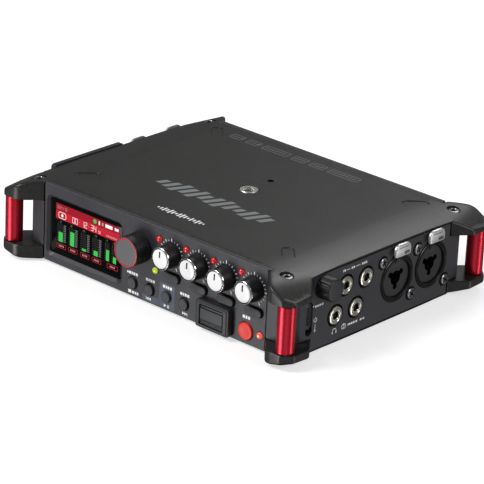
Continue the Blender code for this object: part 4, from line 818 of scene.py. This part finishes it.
def make_adapter():
    b = Build()
    outer = rrect(19.2, 13.0, 1.3, 6)
    window = rrect(13.8, 9.6, 0.5, 4, -0.2, -0.1)
    rows = [(outer, 0.3), (outer, 2.6), (offset(outer, 0.15), 2.95), (offset(outer, 0.5), 3.1),
            (offset(outer, 0.9), 3.15), (offset(outer, 1.0), 3.45), (offset(outer, 1.25), 3.58)]
    rings = [b.ring(pts, z) for pts, z in rows]
    for k, (lo, hi) in enumerate(zip(rings, rings[1:])):
        # the outer walls take the darker rubber and the raised lip the lighter one: painted shade on the
        # walls
        b.bridge(lo, hi, DARK_RUBBER_AND_WALL_SHADE if k < 4 else RUBBER)
    b.face(list(reversed(rings[0])), DARK_RUBBER_AND_WALL_SHADE)
    b.flat(rows[-1][0], [offset(window, -0.25)], 3.58, RUBBER)
    a, c, d = b.ring(offset(window, -0.25), 3.58), b.ring(window, 3.35), b.ring(window, 2.5)
    b.bridge(c, a, RUBBER)
    # the lower part of the window wall is darker: painted shade inside the recess
    b.bridge(d, c, DARK_RUBBER_AND_WALL_SHADE)
    # the window's floor is near-black: painted shade
    b.face(d, BLACK_AND_RECESS_SHADE)
    b.prism(rrect(12.9, 5.0, 0.3, 3, -0.2, 0.3), 2.45, 3.35, RUBBER, 0.2)
    for k in range(3):
        b.prism(rrect(12.9, 0.5, 0.2, 2, -0.2, -2.75 - 0.68 * k), 2.45, 3.2 - 0.1 * k, DARK_RUBBER_AND_WALL_SHADE, 0.1)
    b.prism(rrect(12.9, 0.8, 0.2, 2, -0.2, 3.7), 2.45, 3.1, DARK_RUBBER_AND_WALL_SHADE, 0.1)
    b.prism(rrect(14.0, 7.2, 0.6, 3), -2.6, 0.4, DARK_RUBBER_AND_WALL_SHADE)
    b.obj("adapter_lid", front(39.3, 7.3), "adapter_cover", ("adapter_cover",), 40)


make_adapter()


def make_front_print():
    b = Ink()
    for x in KNOB_X:
        for k in range(21):
            a = math.radians(240 - 15 * k)
            r0, r1, w = (6.3, 6.9, 0.28)
            if k % 10 == 0:
                r0, r1, w = (6.2, 7.7, 0.5)
            elif k % 2 == 0:
                r0, r1, w = (6.25, 7.3, 0.36)
            c, s = math.cos(a), math.sin(a)
            b.bar(x + r0 * c, KNOB_Z + r0 * s, x + r1 * c, KNOB_Z + r1 * s, w)
        b.bar(x - 8.4, 26.2, x - 7.4, 26.2, 0.25)
        b.bar(x - 6.1, 21.0, x - 4.6, 21.0, 0.35)
    b.prism(rrect(9.2, 11.7, 0.6, 3, 9.8, 6.75), 0.0, 0.02, PATCH)
    b.prism(rrect(10.4, 3.1, 0.6, 3, 0.2, 2.45), 0.0, 0.02, PATCH)
    b.poly(circle(0.5, 12, KEY_X[0] - 3.2, 11.1))
    for x in KEY_X:
        b.dashes(x - 2.6, 10.5, (1.4, 0.7, 1.1, 1.2), 1.3)
    b.box(-13.6, 1.5, -11.9, 3.0)
    b.dashes(-11.4, 1.6, (1.4, 0.8, 1.1), 1.2)
    for s, cx in ((-1, -0.7), (1, 20.2)):
        for k in (0, 1):
            x0 = cx + s * (k * 1.3 - 0.9)
            b.poly([(x0, 1.5), (x0 + s * 1.2, 2.25), (x0, 3.0)] if s > 0 else
                   [(x0, 3.0), (x0 - 1.2, 2.25), (x0, 1.5)])
        b.bar(cx + s * 1.9, 1.5, cx + s * 1.9, 3.0, 0.3)
    b.poly([(8.2, 1.5), (9.6, 2.25), (8.2, 3.0)])
    b.bar(10.4, 1.5, 10.4, 3.0, 0.32)
    b.bar(11.1, 1.5, 11.1, 3.0, 0.32)
    b.dashes(54.3, 11.9, (1.3, 1.1, 1.2), 1.4)
    b.obj("front_marks", front(0, 0), ROOT)


make_front_print()


# ------------------------------------------------------------------ display
def digits(b, text, x, y, size, m):
    """Seven-bar digits, slightly condensed."""
    bars = {"a": (0, 1, 1, 1), "b": (1, .5, 1, 1), "c": (1, 0, 1, .5), "d": (0, 0, 1, 0),
            "e": (0, 0, 0, .5), "f": (0, .5, 0, 1), "g": (0, .5, 1, .5)}
    table = {"0": "abcdef", "1": "bc", "2": "abged", "3": "abgcd", "4": "fgbc", "5": "afgcd", "6": "afgedc",
             "8": "abcdefg", "9": "abcdfg", "-": "g"}
    w, h, t = size * 0.5, size, size * 0.085
    for ch in text:
        if ch == ":":
            for yy in (0.25, 0.7):
                b.box(x, y + h * yy, x + t, y + h * yy + t, m)
            x += t * 3
            continue
        for s in table[ch]:
            x0, y0, x1, y1 = bars[s]
            b.box(x + x0 * w - t / 2, y + y0 * h - t / 2, x + x1 * w + t / 2, y + y1 * h + t / 2, m)
        x += w + t * 2.4


def make_display():
    g = Build()
    g.prism(rrect(44.8, 26.0, 1.6, 6), 0.0, 1.0, GLASS, 0.1)
    g.obj("window_glass", front(*SCREEN, -SCREEN_SINK - 1.0), ROOT, ("screen_lens",))
    dress(["display_module"], BLACK_AND_RECESS_SHADE)
    b = Ink()
    b.box(0, 18.7, 40, 21.9, UI_DARK_RED, 0.02)
    b.box(0, 14.6, 40, 18.6, UI_RED, 0.02)
    digits(b, "00:41:10", 1.0, 19.5, 1.3, UI_PINK)
    b.poly(circle(1.0, 20, 24.6, 20.2), INK_Z, UI_GREEN)
    for x0, y0, x1, y1, m in ((27.0, 19.3, 27.8, 21.1, UI_WHITE), (29.0, 19.5, 30.0, 20.9, UI_PINK),
                              (31.2, 19.4, 35.6, 21.0, UI_WHITE), (37.0, 19.6, 39.4, 20.9, UI_WHITE)):
        b.box(x0, y0, x1, y1, m)
    b.outline(rrect(4.6, 2.9, 0.9, 4, 4.0, 16.6), 0.28, UI_WHITE)
    b.poly(circle(0.75, 18, 4.0, 16.6), INK_Z, UI_WHITE)
    for text, x, y, size in (("00", 10.6, 15.3, 2.5), (":", 14.7, 15.5, 1.6), ("12", 16.6, 15.3, 2.5),
                             (":", 20.6, 15.5, 1.6), ("34", 22.4, 15.3, 2.5), ("56", 27.0, 15.3, 1.1)):
        digits(b, text, x, y, size, UI_WHITE)
    for k in range(7):
        b.box(32.0 + k * 1.0, 15.3, 32.6 + k * 1.0, 16.1, UI_PINK)
    # level columns: centre, height, width, reading
    columns = ((3.2, 4.6, 2.6, "-12"), (10.6, 6.7, 2.6, "-6"), (18.2, 1.1, 2.6, "-24"),
               (25.6, 2.4, 2.6, "-18"), (33.0, 5.2, 1.9, "-9"), (37.4, 3.0, 1.9, "-3"))
    for c, (x, h, w, reading) in enumerate(columns):
        b.box(x - w / 2, 3.8, x + w / 2, 3.8 + h, UI_GREEN)
        b.box(x - w / 2, 3.75, x + w / 2, 12.4, UI_DIM, 0.01)
        for k in range(10):
            y = 4.1 + k * 0.86
            if c < 4:
                b.box(x + w / 2 + 0.5, y, x + w / 2 + 2.0, y + 0.38, UI_GREY, 0.02)
            b.box(x - w / 2 - 0.75, y, x - w / 2 - 0.45, y + 0.2, UI_GREY, 0.02)
        digits(b, reading, x - 1.4, 12.9, 0.9, UI_OLIVE if c == 1 else UI_GREY)
    # a framed label under each column, and one under the last two
    for bx, bw in ((3.8, 5.6), (11.2, 5.6), (18.8, 5.6), (26.2, 5.6), (36.2, 6.6)):
        b.outline(rrect(bw, 2.0, 0.3, 2, bx, 1.7), 0.2, UI_RED)
        for k in range(4):
            b.box(bx - 1.6 + k * 0.85, 1.35, bx - 1.1 + k * 0.85, 2.1, UI_PINK)
    b.box(0, 3.1, 40, 3.25, UI_DIM, 0.02)
    b.obj("display_image", front(-61.4, 7.3, -SCREEN_SINK + 0.01), ROOT)


make_display()


# ------------------------------------------------------------------ right side
def make_volume():
    b = Build()
    seg, flutes = 120, 10
    prev = None
    rows = ((0.5, 5.3, 0.0), (0.7, 5.48, 0.55), (1.2, 5.48, 0.55), (5.9, 5.3, 0.5), (6.3, 5.26, 0.35),
            (6.55, 5.2, 0.12), (6.75, 5.0, 0.0), (6.92, 4.75, 0.0), (7.0, 4.4, 0.0))
    for z, r, flute in rows:
        ring = []
        for i in range(seg):
            a = 2 * math.pi * i / seg
            rr = r - flute * max(0.0, math.cos(a * flutes)) ** 0.45
            ring.append(b.bm.verts.new((rr * math.cos(a), rr * math.sin(a), z)))
        if prev:
            b.bridge(prev, ring, BLACK)
        prev = ring
    b.face(prev, DARK_RUBBER_AND_WALL_SHADE)
    b.prism(rrect(0.6, 2.2, 0.2, 3, 0, 3.2), 6.9, 6.999, INK)
    b.obj("volume_cap", right(-39.2, 29.2), "volume_knob", ("volume_knob",), 45)


make_volume()


def make_jacks():
    for name, y, z in (("timecode_in_jack", -24.6, 25.4), ("timecode_out_jack", -11.2, 25.4),
                       ("headphone_jack", -30.6, 13.1), ("external_in_jack", -17.1, 13.0)):
        b = Build()
        # the floor of the recess round the bushing is near-black: painted shade
        b.lathe([(5.0, -0.9), (4.15, -0.9)], BLACK_AND_RECESS_SHADE, 48)
        b.lathe([(4.15, -0.9), (4.15, 0.25), (4.0, 0.5), (3.6, 0.68), (3.1, 0.68), (2.85, 0.45), (2.55, 0.4),
                 (2.35, 0.62), (2.1, 0.6), (1.8, 0.3), (1.75, -1.4)], NICKEL, 56)
        # the bore is near-black: painted shade inside the hole
        b.lathe([(1.75, -1.4), (1.5, -1.6), (1.45, -9.0), (0, -9.0)], BLACK_AND_RECESS_SHADE, 40)
        b.lathe([(1.6, -1.0), (1.4, -1.25), (1.6, -1.5)], BLACK, 40)
        b.obj(name.replace("_jack", "_bushing"), right(y, z), ROOT, (name,), 28)


make_jacks()


def cross_screw(b, cx, cy, turn):
    """A cross-head screw whose slots are turned by an angle in radians."""
    z, half, arm = 0.1, 0.4, 1.75
    c, s = math.cos(turn), math.sin(turn)
    slot = [(cx + x * c - y * s, cy + x * s + y * c)
            for x, y in ((half, -arm), (half, -half), (arm, -half), (arm, half), (half, half), (half, arm),
                         (-half, arm), (-half, half), (-arm, half), (-arm, -half), (-half, -half),
                         (-half, -arm))]
    # a flat near-black ring on the panel round the head: painted shade standing in for a counterbore
    b.flat(circle(3.3, 32, cx, cy), [circle(2.5, 32, cx, cy)], 0.03, BLACK_AND_RECESS_SHADE)
    b.lathe([(2.55, 0.0), (2.55, z + 0.2), (2.45, z + 0.5), (2.15, z + 0.75), (1.95, z + 0.8)],
            STEEL, 32, cx, cy)
    b.flat(circle(1.95, 32, cx, cy), [slot], z + 0.8, STEEL)
    # the slot walls take the bright rim metal as a painted highlight for glints in the cross; the slot floor
    # is near-black painted shade
    b.hole(slot, z + 0.8, z - 0.05, RIM, BLACK_AND_RECESS_SHADE)


def blob(r, slot_r, dist, angles):
    """The jack hole joined with its pin slots, as one outline."""
    pts = []
    for k in range(240):
        a = 2 * math.pi * k / 240
        best = r
        for t in angles:
            d = math.radians(t)
            c = math.cos(a - d)
            s = dist * dist * (c * c - 1) + slot_r * slot_r
            if s > 0 and c > 0:
                best = max(best, dist * c + math.sqrt(s))
        pts.append((best * math.cos(a), best * math.sin(a)))
    return pts


def make_combos():
    for side, y, num in COMBOS:
        place = (right if side > 0 else left)(y, COMBO_Z)
        b = Build()
        b.lathe([(10.9, -2.0), (10.9, 0.1), (10.82, 0.34), (10.6, 0.48), (10.3, 0.48), (10.1, 0.3),
                 (9.95, -0.05), (9.8, -0.05), (9.68, 0.25), (9.5, 0.44), (9.3, 0.46), (9.1, 0.35),
                 (8.95, -0.2), (8.75, -1.9)], GLOSSY, 72)
        opening = blob(3.3, 1.35, 4.2, (30, 150, 270))
        b.flat(circle(8.6, 72), [opening], -0.8, INSERT)
        b.lathe([(8.75, -1.9), (8.72, -1.0), (8.6, -0.8)], INSERT, 72)
        # the opening's walls, its floor and the bore behind are near-black: painted shade inside the
        # connector
        b.hole(opening, -0.8, -7.0, BLACK_AND_RECESS_SHADE)
        b.flat(circle(6.5, 40), [circle(3.25, 40)], -7.0, BLACK_AND_RECESS_SHADE)
        b.lathe([(3.25, -7.0), (3.25, -24), (0, -24)], BLACK_AND_RECESS_SHADE, 40)
        b.lathe([(3.3, -7.0), (3.0, -7.3), (3.0, -8.2)], STEEL, 40)
        b.prism(rrect(1.5, 1.0, 0.3, 3, 0, 7.4), -0.8, -0.4, INSERT)
        for k in range(5):
            b.prism(rrect(0.5, 0.8, 0.1, 2, -2.2 + 1.1 * k, 6.1), -0.8, -0.74, MARK)
        b.obj("combo_%d" % num, place, ROOT, ("combo_jack_%d" % num,), 30)
        s = Build()
        cross_screw(s, -10.27, 10.07, 0.4)
        cross_screw(s, 10.27, -10.07, 0.9)
        s.obj("combo_screws_%d" % num, place, ROOT, (), 30)
        tab = Build()
        shape = round_path([(-5.2, 11.3, 1.2), (5.2, 11.3, 1.2), (5.3, 17.2, 2.9), (-5.3, 17.2, 2.9)])
        tab.prism(shape, 1.8, 2.98, TAB, 0.6)
        tab.prism(rrect(3.6, 1.5, 0.4, 4, 2.2, 12.9), 2.9, 3.0, STEEL)
        tab.prism(rrect(6.4, 0.5, 0.2, 3, 0, 15.6), 2.95, 3.0, RIM)
        tab.prism(rrect(7.0, 3.6, 0.3, 2, 0, 13.3), -4.9, 1.9, SILVER)
        tab.obj("release_tab_%d" % num, place, "latch_tab_%d" % num, ("latch_tab_%d" % num,), 40)


make_combos()


def make_power():
    b = Build()
    b.prism(rrect(3.3, 12.4, 1.6, 8), -2.4, -0.35, BLACK, 0.3)
    for k in range(-3, 4):
        b.prism(rrect(2.4, 0.55, 0.25, 3, 0, k * 1.2), -0.4, 0.3, DARK_RUBBER_AND_WALL_SHADE, 0.15)
    b.obj("power_slider", right(-47.7, 17.4), "power_switch", ("power_switch",), 40)


make_power()


def make_right_print():
    b = Ink()
    b.bar(-45.6, 21.5, -44.9, 21.5, 0.6)
    b.dashes(-44.2, 20.6, (0.9, 1.0, 1.3, 1.0), 1.0)
    # power symbol and arrow
    b.arc(-43.6, 14.9, 0.95, 130, 410, 0.26)
    b.bar(-43.6, 15.0, -43.6, 16.2, 0.26)
    b.bar(-43.6, 12.8, -43.6, 9.6, 0.26)
    b.poly([(-44.2, 10.2), (-43.6, 9.0), (-43.0, 10.2)])
    # headphones
    b.arc(-30.6, 5.6, 1.25, -10, 190, 0.28)
    b.poly(rrect(0.55, 1.2, 0.2, 2, -31.8, 5.1))
    b.poly(rrect(0.55, 1.2, 0.2, 2, -29.4, 5.1))
    # camera
    b.outline(rrect(2.7, 1.9, 0.4, 3, -24.4, 6.0), 0.25)
    b.arc(-24.4, 6.0, 0.5, 0, 360, 0.22)
    b.bar(-25.2, 7.2, -23.6, 7.2, 0.3)
    b.dashes(-21.8, 5.5, (0.3, 1.1, 1.0, 0.9, 0.4, 0.9), 1.0)
    b.dashes(-13.6, 5.5, (0.9, 0.4, 0.9), 1.0)
    # over the timecode jacks
    b.dashes(-27.0, 32.0, (0.4, 1.0), 1.0)
    b.bar(-24.6, 32.5, -22.4, 32.5, 0.28)
    b.dashes(-21.4, 32.0, (0.9, 0.9), 1.0)
    b.bar(-18.4, 32.5, -15.6, 32.5, 0.28)
    b.dashes(-14.6, 32.0, (1.0, 0.9, 0.8), 1.0)
    b.obj("side_marks", right(0, 0), ROOT)


make_right_print()


# ------------------------------------------------------------------ prints on the roof
def make_roof_print():
    """A plain level-meter motif in grey, and a small white waveform."""
    b = Ink()
    lean, row_y = 0.45, -19.8
    heights = (5.0, 7.5, 10.5, 8.0, 10.5, 6.0, 9.0, 10.5, 7.0, 4.5, 8.5, 10.5, 6.5)
    for k, h in enumerate(heights):
        x, dy = -33.5 + 5.15 * k, h / 2
        b.poly([(x - lean * dy, row_y - dy), (x + 3.1 - lean * dy, row_y - dy),
                (x + 3.1 + lean * dy, row_y + dy), (x + lean * dy, row_y + dy)], 0.02, INK_GREY)
    wave = (1.0, 2.2, 3.6, 2.4, 4.2, 3.0, 1.6, 3.4, 4.2, 2.6, 1.4, 3.2, 2.0, 3.8, 2.2, 1.0)
    for k, h in enumerate(wave):
        x = -12.7 + 1.8 * k
        b.box(x, -43.4 - h / 2, x + 0.95, -43.4 + h / 2, INK, 0.02)
    x = -52.0
    for w in (7.0, 7.0, 15.0, 8.0, 8.0, 17.0):
        b.outline(rrect(w, 4.6, 0.5, 2, x + w / 2, 47.7), 0.3, INK_GREY, 0.02)
        for k in range(int(w / 2.2)):
            b.bar(x + 1.3 + k * 2.1, 47.0, x + 2.4 + k * 2.1, 48.4, 0.5, INK_GREY, 0.02)
        x += w + 3.2
    b.obj("roof_marks", top(0, 0, ROOF_Z - 0.045), ROOT)


make_roof_print()


# ------------------------------------------------------------------ left side, rear and underside
def make_left():
    b = Build()
    b.prism(rrect(44.6, 32.4, 1.6, 6, 0, 16.3), 0.02, 2.9, SIDE, 0.8)
    for k in range(9):
        b.prism(rrect(16.0, 0.55, 0.25, 3, 0, 23.6 + k * 0.85), 2.7, 2.899, DARK_RUBBER_AND_WALL_SHADE)
    b.obj("media_door", left(-17.6, 4.0, 0.3), "media_cover", ("media_cover",), 40)
    dress(["card_socket"], GLOSSY)
    s = Ink()
    s.dashes(12.0, 2.6, (1.0, 0.9, 1.1, 0.8), 0.9)
    s.obj("left_marks", left(0, 0), ROOT)


make_left()


def make_rear():
    dress(["video_socket_pair", "data_socket"], SILVER)
    s = Ink()
    for x in (22, -2):
        s.bar(-x - 3, 29.6, -x + 3, 29.6, 0.4)
        s.poly([(-x + 3.2, 29.0), (-x + 4.4, 29.6), (-x + 3.2, 30.2)])
    s.dashes(21.6, 29.2, (1.2, 0.8, 1.4), 0.9)
    s.obj("rear_marks", rear(0, 0), ROOT)


make_rear()


def make_under():
    b = Build()
    b.prism(rrect(60, 54, 0.8, 4), -1.4, -0.05, SHELL, 0.3)
    for k in range(6):
        b.prism(rrect(18, 0.9, 0.4, 3, 0, -25 + 1.9 * k + 1.2), -0.1, 0.0, DARK_RUBBER_AND_WALL_SHADE)
    b.obj("cell_door", under(0, 0), "battery_door", ("battery_door",), 40)
    for name, y in (("front", -40.0), ("rear", 40.0)):
        f = Build()
        f.prism(rrect(120, 8, 3.9, 10), 0.25, 1.0, FOOT, 0.3)
        for k in range(-11, 12):
            f.prism(rrect(2.0, 5.0, 0.8, 3, k * 4.8, 0), 0.9, 0.999, FOOT)
        f.obj("foot_" + name, under(0, y), ROOT, ("foot_strip_" + name,), 40)


make_under()

# seen only through openings
dress(["battery_tray"], BLACK)
dress(["main_board", "front_board"], BOARD)


# ------------------------------------------------------------------ stage and light
def make_stage():
    bm = bmesh.new()
    bmesh.ops.create_grid(bm, x_segments=1, y_segments=1, size=6.0)
    me = bpy.data.meshes.new("floor")
    bm.to_mesh(me)
    bm.free()
    me.materials.append(mat("floor_paper", (0.60, 0.60, 0.60), 0.9, grain=0.01, grain_mm=2.0, smudge=0.005,
                            spec=0.1, emit=(1, 1, 1), emit_strength=FLOOR_GLOW))
    o = bpy.data.objects.new("floor", me)
    o.location.z = -FLOOR_DROP
    bpy.context.scene.collection.objects.link(o)
    # the photograph is a cut-out: no bright floor shows in the case, and soft light reaches it from below
    o.visible_glossy = False
    o.visible_diffuse = False
    o.visible_shadow = False
    world = bpy.data.worlds.new("studio")
    world.use_nodes = True
    sky = world.node_tree.nodes["Background"]
    sky.inputs["Color"].default_value = (1, 1, 1, 1)
    sky.inputs["Strength"].default_value = WORLD_STRENGTH
    bpy.context.scene.world = world
    for name, place, target, width, height, power in LIGHTS:
        d = bpy.data.lights.new(name, "AREA")
        d.shape = "RECTANGLE"
        d.size = width
        d.size_y = height
        d.energy = power
        o = bpy.data.objects.new(name, d)
        o.location = place
        o.rotation_euler = (Vector(target) - Vector(place)).to_track_quat("-Z", "Y").to_euler()
        bpy.context.scene.collection.objects.link(o)


make_stage()
bpy.context.scene.view_settings.view_transform = "Standard"
